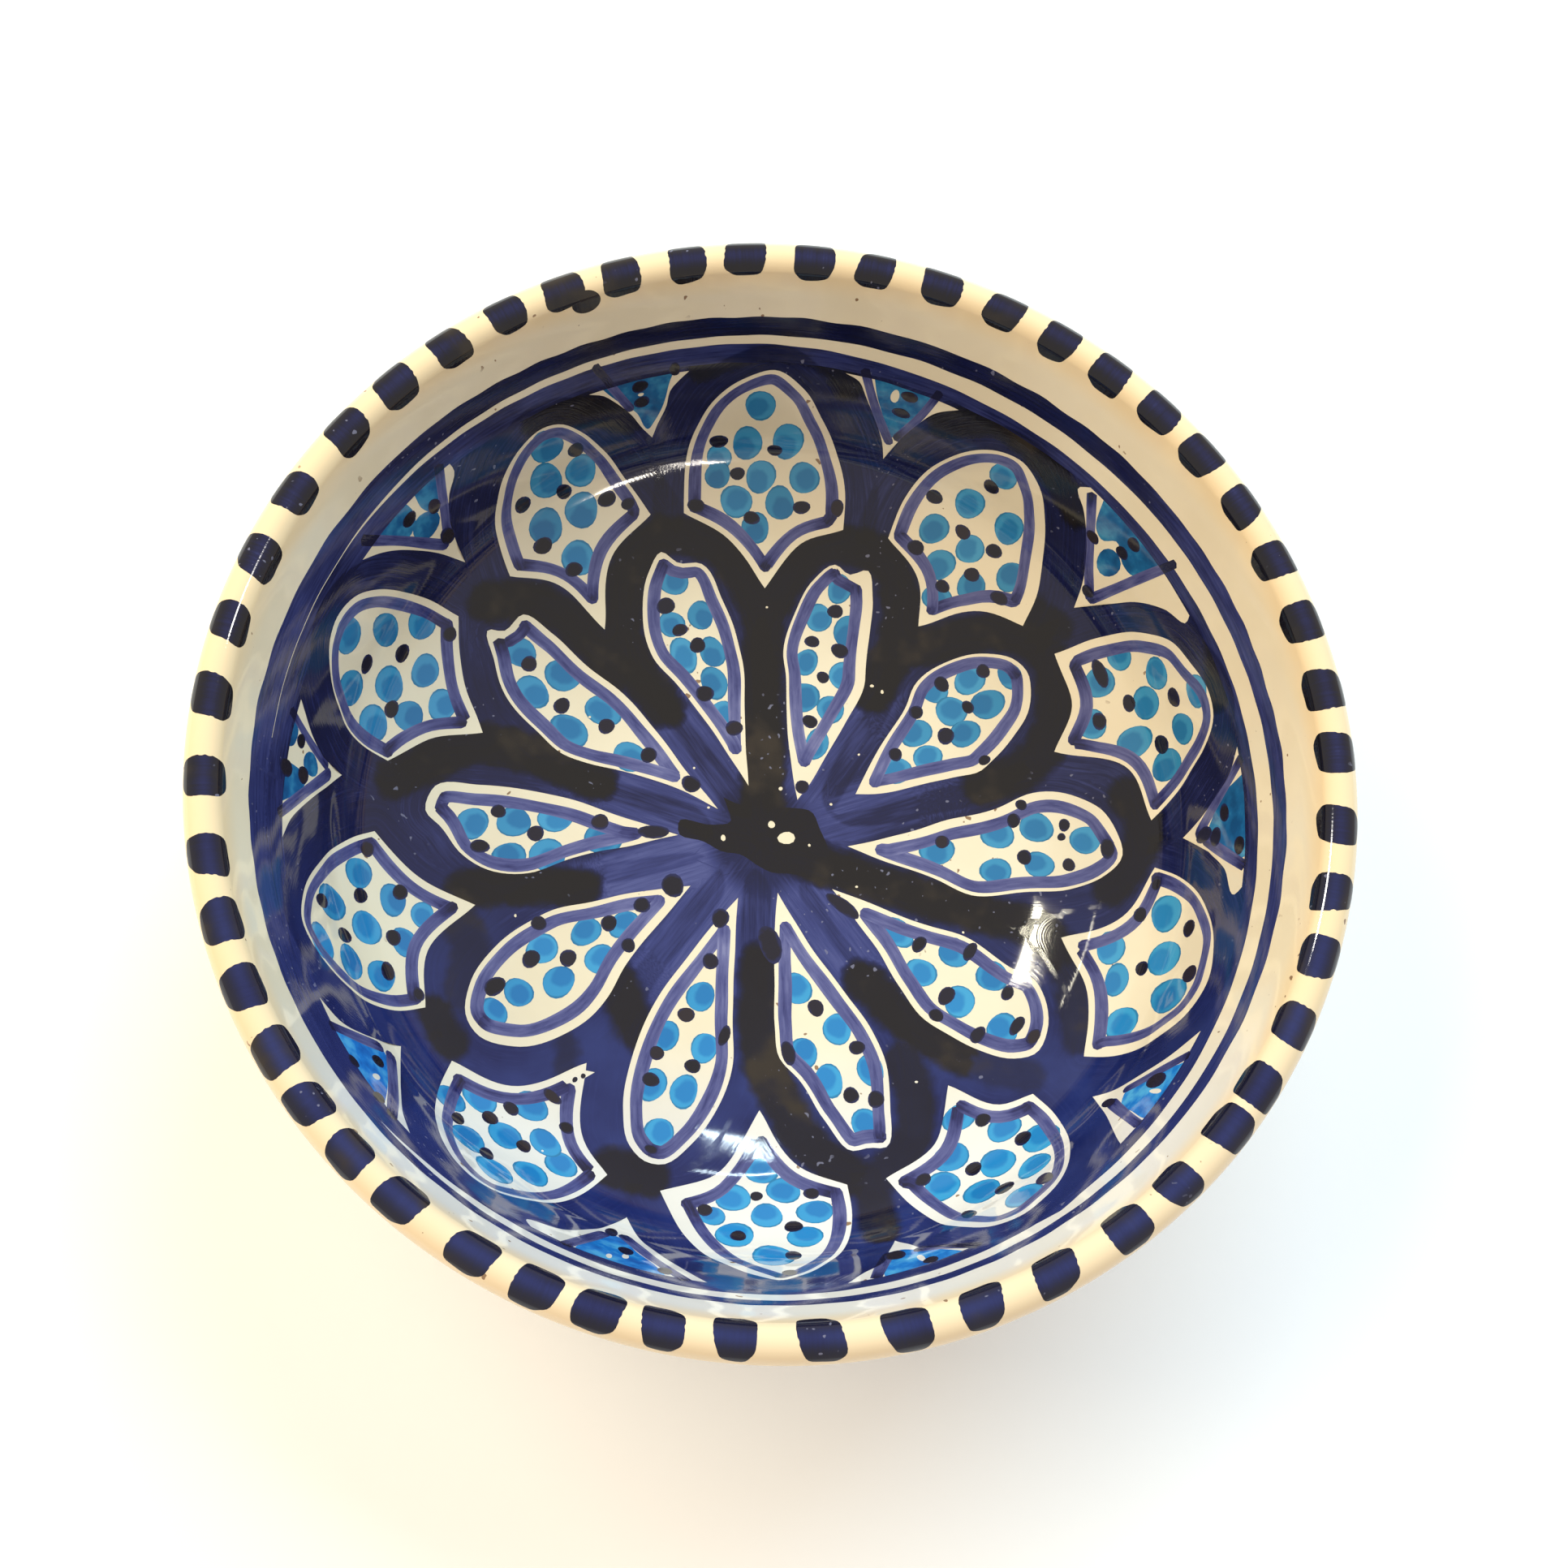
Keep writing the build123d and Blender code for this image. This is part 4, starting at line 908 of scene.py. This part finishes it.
class Painting:
    """Outlines drawn on the unrolled surface, cut into triangles that follow all of them."""

    def __init__(self):
        self.points, self.loops, self.kinds = [], [], []

    def draw(self, kind, outline, **facts):
        outline = anticlockwise(outline)
        start = len(self.points)
        self.points.extend(outline.tolist())
        self.loops.append(list(range(start, len(self.points))))
        self.kinds.append((kind, facts))

    def fill(self, spacing, inner, outer):
        """Loose points between the outlines, so that the film bends with the pot."""
        tree = kdtree.KDTree(len(self.points))
        for index, (x, y) in enumerate(self.points):
            tree.insert((x, y, 0), index)
        tree.balance()
        for row in range(int(2 * outer / (spacing * ROW_STEP))):
            y = -outer + row * spacing * ROW_STEP
            for column in range(int(2 * outer / spacing)):
                x = -outer + (column + 0.5 * (row % 2)) * spacing
                if inner < math.hypot(x, y) < outer and tree.find((x, y, 0))[2] > CLEAR * spacing:
                    self.points.append([x, y])

    def cut(self):
        """Vertices and triangles of the whole, and for each triangle the loops that it lies in."""
        points = [Vector(point) for point in self.points]
        corners, _, faces, _, _, owners = geometry.delaunay_2d_cdt(points, [], self.loops, 0, 1e-5, True)
        owners = [set(own) for own in owners]
        covered = Counter(loop for own in owners for loop in own)
        for loop, count in covered.items():
            if "path" in self.kinds[loop][1] and count > len(owners) / 2:
                # a stroke whose outline crosses itself comes back inside out
                for own in owners:
                    own ^= {loop}
        return np.array([corner[:] for corner in corners]), np.array([face[:] for face in faces]), owners


def film(name, vertices, triangles, groups, lift, attributes, material):
    """A closed film of paint over some triangles: a raised top, a sunk bottom and thin sides."""
    keys = triangles.astype(np.int64) + groups[:, None].astype(np.int64) * len(vertices)
    unique, faces = np.unique(keys, return_inverse=True)
    faces = faces.reshape(-1, 3)
    flat, group = vertices[unique % len(vertices)], unique // len(vertices)
    edges = np.concatenate([faces[:, [0, 1]], faces[:, [1, 2]], faces[:, [2, 0]]])
    codes = edges[:, 0] * len(unique) + edges[:, 1]
    back = edges[:, 1] * len(unique) + edges[:, 0]
    rim = edges[~np.isin(back, codes)]
    distance, angle = distance_and_angle(flat)
    height = np.full(len(flat), lift)
    height[rim.ravel()] *= THIN_EDGE
    top, normal = surface(POT, distance, angle, height)
    bottom, _ = surface(POT, distance, angle, np.full(len(flat), -SUNK))
    count = len(flat)
    a, b = rim.T
    sides = np.concatenate([np.stack([b, a, a + count], 1), np.stack([b, a + count, b + count], 1)])
    points = np.concatenate([top, bottom])
    corners = points[sides]
    flat_normal = unit(np.cross(corners[:, 1] - corners[:, 0], corners[:, 2] - corners[:, 0]))
    normals = np.concatenate([normal[faces], -normal[faces[:, ::-1]], np.repeat(flat_normal[:, None], 3, 1)])
    all_faces = np.concatenate([faces, faces[:, ::-1] + count, sides])
    values = {key: np.tile(make(flat, group), (2, 1)) for key, make in attributes.items()}
    return build_mesh(name, points, all_faces, normals, values, material, [name])


# ---- where every outline goes ----
art = Painting()
petal_outlines = []      # (family, axis angle, closed outline), for the thick brush to follow
FAMILIES = ("outer_petal", "inner_petal", "corner")
NAVY, VIOLET, TURQUOISE, BLACK = "navy_cobalt", "violet_cobalt", "turquoise_copper", "black_manganese"


def outer_petal_outline(petal):
    """Up the left side, over the tip, down the right, and back along two scallops to a valley."""
    left, right = petal["side"][0], petal["side"][-1]
    right_scallop, valley, left_scallop = petal["foot"]
    runs = [petal["side"], [right, right_scallop, valley], [valley, left_scallop, left]]
    return np.concatenate([smooth(run, OUTLINE_STEP)[:-1] for run in runs])


def loop_through(points, step):
    """A smooth closed outline that may turn sharply only at its first point."""
    return smooth([*points, points[0]], step)[:-1]


def inner_petal_outline(petal):
    return loop_through(petal["side"], OUTLINE_STEP)


def corner_outline(corner):
    """Up from the point, along under the band and back down."""
    left, right = smooth(corner["left"], OUTLINE_STEP), smooth(corner["right"], OUTLINE_STEP)
    ends = np.array([left[-1], right[0]])
    radii, angles = distance_and_angle(ends)
    share = np.linspace(0, 1, 22)[1:-1]
    top_angle = angles[0] + share * (angles[1] - angles[0])
    top_radius = radii[0] + share * (radii[1] - radii[0])
    top = np.stack([top_radius * np.cos(top_angle), top_radius * np.sin(top_angle)], 1)
    return np.concatenate([left, top, right])


def draw_spots(kind, family, places, angle, count):
    """Dabs or dots of one petal; each remembers its own middle, size and pigment."""
    for u, v, across, along in places:
        outline = turned(spot(u, v, across, along, count), angle)
        pool = rng.uniform(-0.22, 0.22, 2) + np.array([0.0, -0.12])
        art.draw(kind, outline, family=family, angle=angle, middle=(u, v), size=(across, along),
                 tone=rng.uniform(0, 1), pool=pool)


def line_gap(outline, angle, petal):
    """How much bare glaze lies between the thick paint and the thin line, round a petal."""
    u, v = petal_frame(outline, angle)
    left, right = petal["gaps"]
    gap = left + (right - left) * ease(u, -7, 7)
    if "foot" in petal:
        edge = petal["side"][0][1]
        gap += (FOOT_GAP - gap) * ease(-v, -edge - 1, -edge + 4)
    return gap


def draw_petals(family, petals, make_outline):
    """The bare islands of one kind of petal with their thin lines, dabs and dots."""
    for angle, petal in petals.items():
        outline = anticlockwise(shaky(turned(make_outline(petal), angle), 0.12))
        petal_outlines.append((family, angle, outline))
        art.draw("island", outline, family=family)
        for run in split_at_corners(beside(outline, line_gap(outline, angle, petal) + LINE / 2)):
            art.draw("line", ribbon(run, LINE), family=family, path=run)
        draw_spots("dab", family, petal["dabs"], angle, 18)
        draw_spots("dot", family, petal["dots"], angle, 14)


def draw_corners():
    """The bare triangles with their washes, thick strokes, drops of bare glaze and dots."""
    for angle, corner in CORNERS.items():
        art.draw("island", shaky(turned(corner_outline(corner), angle), 0.1), family="corner")
        for wash in corner["washes"]:
            art.draw("wash", shaky(turned(loop_through(wash, 1.2), angle), 0.3), family="corner")
        for u, v, across, along in corner.get("dabs", []):
            art.draw("wash", turned(spot(u, v, across, along), angle), family="corner")
        for width, stroke in corner["strokes"]:
            path = turned(smooth(stroke, OUTLINE_STEP), angle)
            art.draw("stroke", ribbon(path, width), family="corner", path=path)
        draw_spots("bare", "corner", corner.get("bare", []), angle, 12)
        draw_spots("dot", "corner", corner["dots"], angle, 14)


def draw_rings():
    """The edge of the painting, the bare ring that fades out on the left, and the band."""
    angles = np.arange(-180.0, 180.0, 1.0)
    art.draw("disc", shaky(polar(angles, round_the_dish(DISC_EDGE, angles)), 0.3))
    art.draw("inside", shaky(polar(angles, np.full(len(angles), BAND_START)), 0.2))
    sweep = np.arange(min(GAP_OUTER), max(GAP_OUTER) + 0.1, 1.0)
    outer = polar(sweep, round_the_dish(GAP_OUTER, sweep))
    inner = polar(sweep, round_the_dish(GAP_INNER, sweep))
    art.draw("gap", shaky(np.concatenate([outer, inner[::-1]]), 0.15))


def draw_middle():
    """The star, the strokes round the inner petals, and what has flaked or pitted through."""
    art.draw("star", loop_through(STAR, 1.5))
    angles = np.arange(-180.0, 180.0, 6.0)
    art.draw("rosette", polar(angles, np.full(len(angles), ROSETTE_RADIUS)))
    for family, _, outline in petal_outlines:
        if family == "inner_petal":
            art.draw("rosette", beside(outline, -STROKE))
    for u, v, across, along in PINHOLES:
        art.draw("pinhole", spot(u, v, across, along, 10))
    art.draw("pinhole", turned(FLAKE, FLAKE_ANGLE))
    draw_spots("dot", "outer_petal", FLAKE_SPECKS, FLAKE_ANGLE, 8)


draw_rings()
draw_petals("inner_petal", INNER_PETALS, inner_petal_outline)
draw_petals("outer_petal", OUTER_PETALS, outer_petal_outline)
draw_corners()
draw_middle()
art.fill(PAINT_SPACING, 0, DISC_EDGE[-90])


def ring_layer(middle):
    """The ring line and the band inside it part where the bare ring ends, or would."""
    distance, angle = math.hypot(*middle), math.degrees(math.atan2(middle[1], middle[0]))
    beyond = distance > round_the_dish(GAP_INNER, [angle])[0]
    return "outer_ring_line" if beyond else "inner_ring_band"


def layer_of(own, triangle):
    """Which film the topmost paint of a triangle belongs to, if any, and which brush mark it is."""
    top = {art.kinds[loop][0]: loop for loop in sorted(own)}
    island = top.get("island")
    bare_ring = "gap" in top and "stroke" not in top
    if "disc" not in top or "pinhole" in top and "dot" not in top or bare_ring:
        return None, 0
    if "dot" in top:
        return art.kinds[top["dot"]][1]["family"] + "_dots", top["dot"]
    if "stroke" in top:
        return "corner_outlines", 2 * top["stroke"] + (island is None)
    if island is not None:
        family = art.kinds[island][1]["family"]
        if "line" in top:
            return family + "_outlines", 2 * top["line"]
        if "dab" in top:
            return family + "_dabs", top["dab"]
        if "wash" in top and "bare" not in top:
            return "corner_washes", top["wash"]
        return None, 0
    if "star" in top:
        return "centre_patch", 0
    if "rosette" in top:
        return "inner_petal_loops", 0
    if "inside" in top:
        return "outer_petal_arcs", 0
    return ring_layer(vertices[triangle].mean(0)), 0


vertices, triangles, owners = art.cut()
layers = {}
for triangle, own in zip(triangles, owners):
    layer, mark = layer_of(own, triangle)
    if layer:
        layers.setdefault(layer, []).append((*triangle, mark))


# ---- what the brush did at each place ----
# Each of these takes the flat places of a film's points, and the brush mark that each point is in.
FAR_AWAY = 99.0          # mm: no other petal near
ROUND = 140.0            # turns radians along a ring into mm


def nearest_petals(flat):
    """For each place: distance to the nearest petal, place along it, and distance to its next sister."""
    reach = np.empty((len(petal_outlines), len(flat)))
    along = np.empty_like(reach)
    for index, (_, _, outline) in enumerate(petal_outlines):
        for part in np.array_split(np.arange(len(flat)), 1 + len(flat) // 4000):
            gaps = np.linalg.norm(flat[part][:, None] - outline[None], axis=2)
            along[index, part] = gaps.argmin(1) * OUTLINE_STEP + 97 * index      # no two alike
            reach[index, part] = gaps.min(1)
    first = reach.argmin(0)
    pick = np.arange(len(flat))
    kinds = np.array([family == "inner_petal" for family, _, _ in petal_outlines])
    sisters = np.where(kinds[:, None] == kinds[first][None], reach, FAR_AWAY)
    sisters[first, pick] = FAR_AWAY
    return reach[first, pick], along[first, pick], sisters.min(0)


def thick_stroke(flat, group):
    """Bristles follow the petals, and near the middle the straight arms of the star."""
    nearest, along, sister = nearest_petals(flat)
    radius, turn = distance_and_angle(flat)
    apart = 2 * math.pi / len(INNER_PETALS)
    off_arm = turn % apart - apart / 2
    straight = ease(-radius, -52, -38)
    across = nearest + straight * (STROKE / 2 - radius * np.sin(off_arm) - nearest)
    return np.stack([across, along + straight * (radius - along), sister], 1)


def from_path(flat, path):
    """Distance from a line of points, however far apart they are."""
    gaps = []
    for start, end in zip(np.array(path[:-1], float), np.array(path[1:], float)):
        way = end - start
        share = np.clip((flat - start) @ way / (way @ way), 0, 1)
        gaps.append(np.linalg.norm(flat - start - share[:, None] * way, axis=1))
    return np.min(gaps, axis=0)


def thick_tone(flat, group):
    """How far inside the nearest black stroke, how violet, and how black that stroke is."""
    edge = np.array([width / 2 - from_path(flat, smooth(path, 3) if len(path) > 2 else path)
                     for width, _, path in DARK_STROKES])
    black = np.array([strength for _, strength, _ in DARK_STROKES])[edge.argmax(0)]
    violet = np.zeros(len(flat))
    for angle, strength in VIOLET_SPOKES.items():
        u, v = petal_frame(flat, angle)
        inside = ease(v, 9, 16) * ease(-v, -62, -34)
        violet = np.maximum(violet, strength * inside * ease(-abs(u), -9, -5))
    return np.stack([np.clip(edge.max(0), -3, 3), violet, black], 1)


def ring_stroke(flat, group):
    """Bristles run round the ring."""
    distance, angle = distance_and_angle(flat)
    return np.stack([distance, ROUND * angle, np.full(len(flat), FAR_AWAY)], 1)


def ring_tone(flat, group):
    """The ring's left and right were drawn with a drier brush; its far side is darker, as painted shade."""
    count = len(flat)
    dry = 0.5 * abs(flat[:, 0]) / np.hypot(*flat.T)
    # painted shade: black rises towards the far side, where the wall gets less light
    return np.stack([np.full(count, 3.0), dry, 0.35 * ease(flat[:, 1], 60, 130)], 1)


def band_stroke(flat, group):
    """The petals' arcs run over the band, so it is darker near them."""
    distance, angle = distance_and_angle(flat)
    return np.stack([distance, ROUND * angle, nearest_petals(flat)[0]], 1)


def even_tone(black, violet):
    """The same pigment everywhere in a film."""
    return lambda flat, group: np.tile([3.0, violet, black], (len(flat), 1))


def dash_tone(flat, group):
    """A dash is full where the brush set down and left; over the top of the lip it is lighter, a painted
    highlight.
    """
    # painted highlight: a lighter, more violet streak along the top of the lip, where a light is mirrored
    painted_highlight = np.exp(-((np.hypot(*flat.T) - (DASH_FROM + DASH_TO) / 2) / 1.9) ** 2)
    return np.stack([np.full(len(flat), 3.0), 0.20 * painted_highlight, 0.90 - 0.70 * painted_highlight], 1)


def dab_place(flat, group):
    """Where in its own dab a place is, from -1 to 1 each way, and the dab's tone."""
    result = np.zeros((len(flat), 3))
    for loop in np.unique(group):
        facts, mine = art.kinds[loop][1], group == loop
        u, v = petal_frame(flat[mine], facts["angle"])
        result[mine, 0] = (u - facts["middle"][0]) / facts["size"][0]
        result[mine, 1] = (v - facts["middle"][1]) / facts["size"][1]
        result[mine, 2] = facts["tone"]
    return result


def dab_pool(flat, group):
    """Where the pigment pooled in the dab that each place is in."""
    pools = {loop: [*art.kinds[loop][1]["pool"], 0.0] for loop in np.unique(group)}
    return np.array([pools[loop] for loop in group])


def line_place(flat, group):
    """Across a thin line from -1 to 1, along it in mm, and how much other paint is under it."""
    result = np.zeros((len(flat), 3))
    for mark in np.unique(group):
        mine, path = group == mark, art.kinds[mark // 2][1]["path"]
        gaps = flat[mine][:, None] - path[None]
        near = np.linalg.norm(gaps, axis=2).argmin(1)
        way = unit(np.gradient(path, axis=0))
        gap = gaps[np.arange(len(near)), near]
        side = gap[:, 1] * way[near, 0] - gap[:, 0] * way[near, 1]
        start = ease(-np.minimum(near, len(path) - near) * 1.0, -4, 0)
        over = 0.45 if mark % 2 else 0.0
        result[mine] = np.stack([side / (LINE / 2), near * OUTLINE_STEP + 31 * mark,
                                 over + 0.35 * start], 1)
    return result


# ---- pieces ----
COBALT, THIN_COBALT = brushed_cobalt(), thin_cobalt()
TURQUOISE_DAB, DOT = turquoise_dab(), manganese_dot()
THICK = dict(stroke=thick_stroke, tone=thick_tone)
# Each film's height over the glaze in mm, its paint attributes, material and slot.
RECIPES = {
    "outer_ring_line": (0.06, dict(stroke=ring_stroke, tone=ring_tone), COBALT, NAVY),
    "inner_ring_band": (0.06, dict(stroke=band_stroke, tone=even_tone(0.0, 0.3)), COBALT, VIOLET),
    "outer_petal_arcs": (0.06, THICK, COBALT, NAVY),
    "inner_petal_loops": (0.06, THICK, COBALT, NAVY),
    "centre_patch": (0.07, dict(stroke=thick_stroke, tone=even_tone(0.95, 0.0)), COBALT, BLACK),
    "corner_washes": (0.05, {}, turquoise_wash(), TURQUOISE),
}
for family in FAMILIES:
    RECIPES[family + "_outlines"] = (0.06, dict(line=line_place), THIN_COBALT, VIOLET)
    RECIPES[family + "_dots"] = (0.10, dict(dab=dab_place), DOT, BLACK)
for family in FAMILIES[:2]:
    RECIPES[family + "_dabs"] = (0.07, dict(dab=dab_place, pool=dab_pool), TURQUOISE_DAB, TURQUOISE)

for name, (lift, attributes, material, slot) in RECIPES.items():
    found = np.array(layers[name])
    film(name, vertices, found[:, :3], found[:, 3], lift, attributes, material)


def make_rim_dashes():
    """Fifty short pulls of the thick brush across the lip, no two alike."""
    rim = Painting()
    turn = np.linspace(0, 2 * math.pi, 36, endpoint=False)
    box_cos, box_sin = (np.sign(f(turn)) * abs(f(turn)) ** 0.70 for f in (np.cos, np.sin))
    for angle in DASH_ANGLES:
        near, far = DASH_FROM + rng.uniform(-0.9, 0.5), DASH_TO + rng.uniform(-0.5, 0.5)
        half = DASH_WIDTH / 2 * rng.uniform(0.93, 1.07)
        lean = rng.uniform(-0.5, 0.5)
        wobble = 1 + 0.04 * np.sin(3 * turn + rng.uniform(0, 6)) + 0.02 * np.sin(7 * turn)
        distance = (near + far) / 2 - (far - near) / 2 * box_cos * wobble
        side = angle + half * box_sin * wobble * (1 + 0.07 * box_cos) + lean * box_cos
        rim.draw("dash", polar(side, distance))
    blob_angle = BLOB_ANGLE + BLOB_WIDTH / 2 * np.cos(turn)
    rim.draw("dash", polar(blob_angle, BLOB_DISTANCE + BLOB_LENGTH / 2 * np.sin(turn)))
    rim.fill(DASH_SPACING, DASH_FROM - 4, DASH_TO + 2)
    places, faces, owners = rim.cut()
    painted = np.array([(*face, min(own)) for face, own in zip(faces, owners) if own])

    def across(flat, group):
        """Bristles run over the lip."""
        distance, angle = distance_and_angle(flat)
        return np.stack([np.degrees(angle) * MM_PER_DEGREE, distance, np.full(len(flat), FAR_AWAY)], 1)

    attributes = dict(stroke=across, tone=dash_tone)
    film("rim_dashes", places, painted[:, :3], painted[:, 3], 0.07, attributes, COBALT)


make_rim_dashes()


# ---- the glaze coat and the clay ----
SKIN = GLAZE * 0.95      # thickness of the coat that is seen


def shell(stations, distances, thickness, pole):
    """A closed skin turned about the axis: rows at distances (rows by segments), closed at a pole."""
    rows, segments = distances.shape
    count = rows * segments
    lid, hem = (0, -1) if pole == "first" else (-1, 0)
    angles = np.tile(np.linspace(0, 2 * math.pi, segments, endpoint=False), rows)
    front, out = surface(stations, distances.ravel(), angles, np.zeros(count))
    side = math.copysign(1, out[lid][2])
    centre = np.array([[0, 0, front[lid][2]]])
    points = np.concatenate([front, front - out * thickness, centre, centre - [[0, 0, side * thickness]]])
    grid = np.arange(count).reshape(rows, segments)
    after = np.roll(grid, -1, 1)
    quads = np.stack([grid[:-1], grid[1:], after[1:], after[:-1]], 2).reshape(-1, 4)
    fan = np.stack([grid[lid], after[lid], np.full(segments, 2 * count)], 1)
    closing = np.stack([grid[hem], after[hem], after[hem] + count, grid[hem] + count], 1)
    if pole == "first":
        closing = closing[:, ::-1]
    else:
        fan = fan[:, ::-1]
    back_fan = fan[:, ::-1] + count
    back_fan[fan[:, ::-1] == 2 * count] = 2 * count + 1
    parts = quads, quads[:, ::-1] + count, closing, fan, back_fan
    faces = [face for part in parts for face in part.tolist()]
    normal = np.concatenate([out, -out, [[0, 0, side]], [[0, 0, -side]]])
    normals = [normal[part].reshape(-1, 3) for part in parts]
    edge = points[closing]
    edge_normal = unit(np.cross(edge[:, 1] - edge[:, 0], edge[:, 3] - edge[:, 0]))
    normals[2] = np.repeat(edge_normal, 4, 0)       # the closing strip is flat, not rounded
    return points, faces, np.concatenate(normals)


def spread(*spans):
    """Distances along a profile, given as (from, to, step) spans that follow on one another."""
    parts = [np.arange(start, end - step / 2, step) for start, end, step in spans]
    return np.concatenate(parts + [[spans[-1][1]]])


def make_glaze():
    """One skin over the inside, the lip and the outside, and one in the hollow of the foot."""
    end_radius, end_height = OUTER_END
    root_turn = 90 - math.degrees(math.atan(FOOT_TAPER / end_height))
    root = FOOT_ROUNDING * math.tan(math.radians(root_turn / 2))
    drop = (end_height - root - BARE_HEIGHT) * math.hypot(1, FOOT_TAPER / end_height)
    stations, length, _ = profile((0, FLOOR_TOP), 0, POT_RUNS + [
        (end_radius - FOOT_OUTER - FOOT_TAPER - root, UNDERSIDE_TURN),
        arc(FOOT_ROUNDING, root_turn), (drop, 0)])
    rows = spread((1.2, 80, 2.2), (80, 110, 1.5), (110, LIP_START - 0.5, 1.7),
                  (LIP_START - 0.5, LIP_WIDEST + 5, 0.5), (LIP_WIDEST + 5, POT_LENGTH - 37, 2.2),
                  (POT_LENGTH - 37, POT_LENGTH + 8, 2.0), (POT_LENGTH + 8, length - 0.6, 0.5))
    angles = np.linspace(0, 2 * math.pi, 480, endpoint=False)
    ragged = 0.25 * np.sin(5 * angles) + 0.18 * np.sin(13 * angles + 1) + 0.12 * np.sin(29 * angles + 2)
    share = ease(rows, length - 4, length)[:, None]
    main = shell(stations, rows[:, None] + share * ragged[None], SKIN, "first")

    side_turn = 90 - math.degrees(math.atan(FOOT_TAPER / FOOT_RECESS))
    side_length = math.hypot(FOOT_TAPER, FOOT_RECESS)
    corner = FOOT_ROUNDING * math.tan(math.radians(side_turn / 2))
    start = (FOOT_INNER - FOOT_TAPER * BARE_HEIGHT / FOOT_RECESS, BARE_HEIGHT)
    rise = side_length * (1 - BARE_HEIGHT / FOOT_RECESS) - corner
    flat = FOOT_INNER - FOOT_TAPER - corner
    well_runs = [(rise, 0), arc(FOOT_ROUNDING, side_turn), (flat, 0)]
    well, well_length, _ = profile(start, 180 - side_turn, well_runs)
    well_rows = spread((0.5, 4, 0.5), (4, well_length - 2, 4.0))
    well_ragged = ease(-well_rows, -4, 0)[:, None] * ragged[None, ::3]
    hollow = shell(well, well_rows[:, None] + well_ragged, SKIN, "last")

    points, faces, normals = main
    shift = len(points)
    faces = faces + [[vertex + shift for vertex in face] for face in hollow[1]]
    build_mesh("glaze_coat", np.concatenate([points, hollow[0]]), np.array(faces, object),
               np.concatenate([normals, hollow[2]]), {}, cream_glaze(), ["white_glaze"])


make_glaze()

for material_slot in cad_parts["clay_body"].material_slots:
    material_slot.material = fired_clay()


# ---- floor and light, in metres ----
FLOOR_HALF = 3.0
GLINT_SPREAD = 28.0      # degrees
WARM_WHITE, LIP_WHITE = (1.0, 0.92, 0.80), (1.0, 0.97, 0.90)


def make_floor():
    mesh = bpy.data.meshes.new("floor")
    ends = (-FLOOR_HALF, FLOOR_HALF)
    mesh.from_pydata([(x, y, 0) for x in ends for y in ends], [], [(0, 2, 3, 1)])
    n = Nodes("pale_floor", 0.9)
    cloud = n.noise(n.place(), 3, 2)
    mesh.materials.append(n.finish(n.ramp(cloud, (0.3, (250, 250, 250)), (0.7, (254, 254, 254)))))
    floor = bpy.data.objects.new("floor", mesh)
    bpy.context.collection.objects.link(floor)


def area_light(name, size, power, colour, glint):
    """A rectangle of light, its sides in metres, seen only in reflections or only as light."""
    data = bpy.data.lights.new(name, "AREA")
    data.shape = "RECTANGLE"
    data.size, data.size_y = size
    data.energy = power
    data.color = colour
    light = bpy.data.objects.new(name, data)
    light.visible_camera = False
    light.visible_glossy = glint
    light.visible_diffuse = not glint
    bpy.context.collection.objects.link(light)
    return light


def soft_box(name, place, aim, size, power, colour):
    light = area_light(name, size, power, colour, False)
    light.location = place
    light.rotation_euler = (Vector(aim) - Vector(place)).to_track_quat("-Z", "Y").to_euler()


def glint(name, start, end, width, far, power, colour):
    """A strip light whose mirror image lies on the inside from start to end, as the camera sees it."""
    eye = np.array(bpy.context.scene.camera.location)
    ends = []
    for x, y in (start, end):
        reach, turn = math.hypot(x, y), math.atan2(y, x)
        radius, height, heading = (float(value[0]) for value in follow(POT, np.array([reach])))
        point = np.array([radius * math.cos(turn), radius * math.sin(turn), height]) * MM
        slope = math.sin(heading)
        normal = np.array([-slope * math.cos(turn), -slope * math.sin(turn), math.cos(heading)])
        view = (eye - point) / np.linalg.norm(eye - point)
        ends.append(point + (2 * normal @ view * normal - view) * far)
    centre, way = (ends[0] + ends[1]) / 2, ends[1] - ends[0]
    light = area_light(name, (float(np.linalg.norm(way)), width), power, colour, True)
    light.data.spread = math.radians(GLINT_SPREAD)
    back = Vector(centre - point).normalized()      # it faces the second end's place in the dish
    side = back.cross(Vector(way).normalized()).normalized()
    stand(light, centre, side.cross(back), side, back)


def make_light():
    """Two soft boxes, small strips for the highlights, and a pale surrounding."""
    world = bpy.data.worlds.new("studio")
    world.use_nodes = True
    background = world.node_tree.nodes["Background"]
    background.inputs["Color"].default_value = (1.0, 0.92, 0.84, 1)
    background.inputs["Strength"].default_value = 0.68
    bpy.context.scene.world = world
    middle = (0, 0, 0.04)
    soft_box("warm_key", (-1.05, 0.40, 1.10), middle, (1.2, 1.0), 17, (1.0, 0.86, 0.60))
    soft_box("cool_far", (0.55, 1.00, 1.10), middle, (1.3, 1.0), 21, (0.53, 0.80, 1.0))
    glint("lamp", (61, -34), (67, -16), 0.0026, 0.07, 0.0007, (1.0, 0.93, 0.72))
    glint("window_line", (-14, -71.5), (3, -75), 0.0008, 0.06, 0.00018, (0.75, 0.93, 1.0))
    glint("far_spark", (-43, 87), (-36, 91), 0.0008, 0.10, 0.00005, WARM_WHITE)
    glint("far_line", (-28, 95), (-12, 97), 0.0006, 0.10, 0.00006, WARM_WHITE)
    glint("lip_right", (158.1, 11), (153, -41), 0.010, 0.07, 0.0025, LIP_WHITE)
    glint("lip_left", (-138, 80), (-156, 33), 0.010, 0.07, 0.0025, LIP_WHITE)
    bpy.context.scene.view_settings.view_transform = "Standard"


make_floor()
make_light()
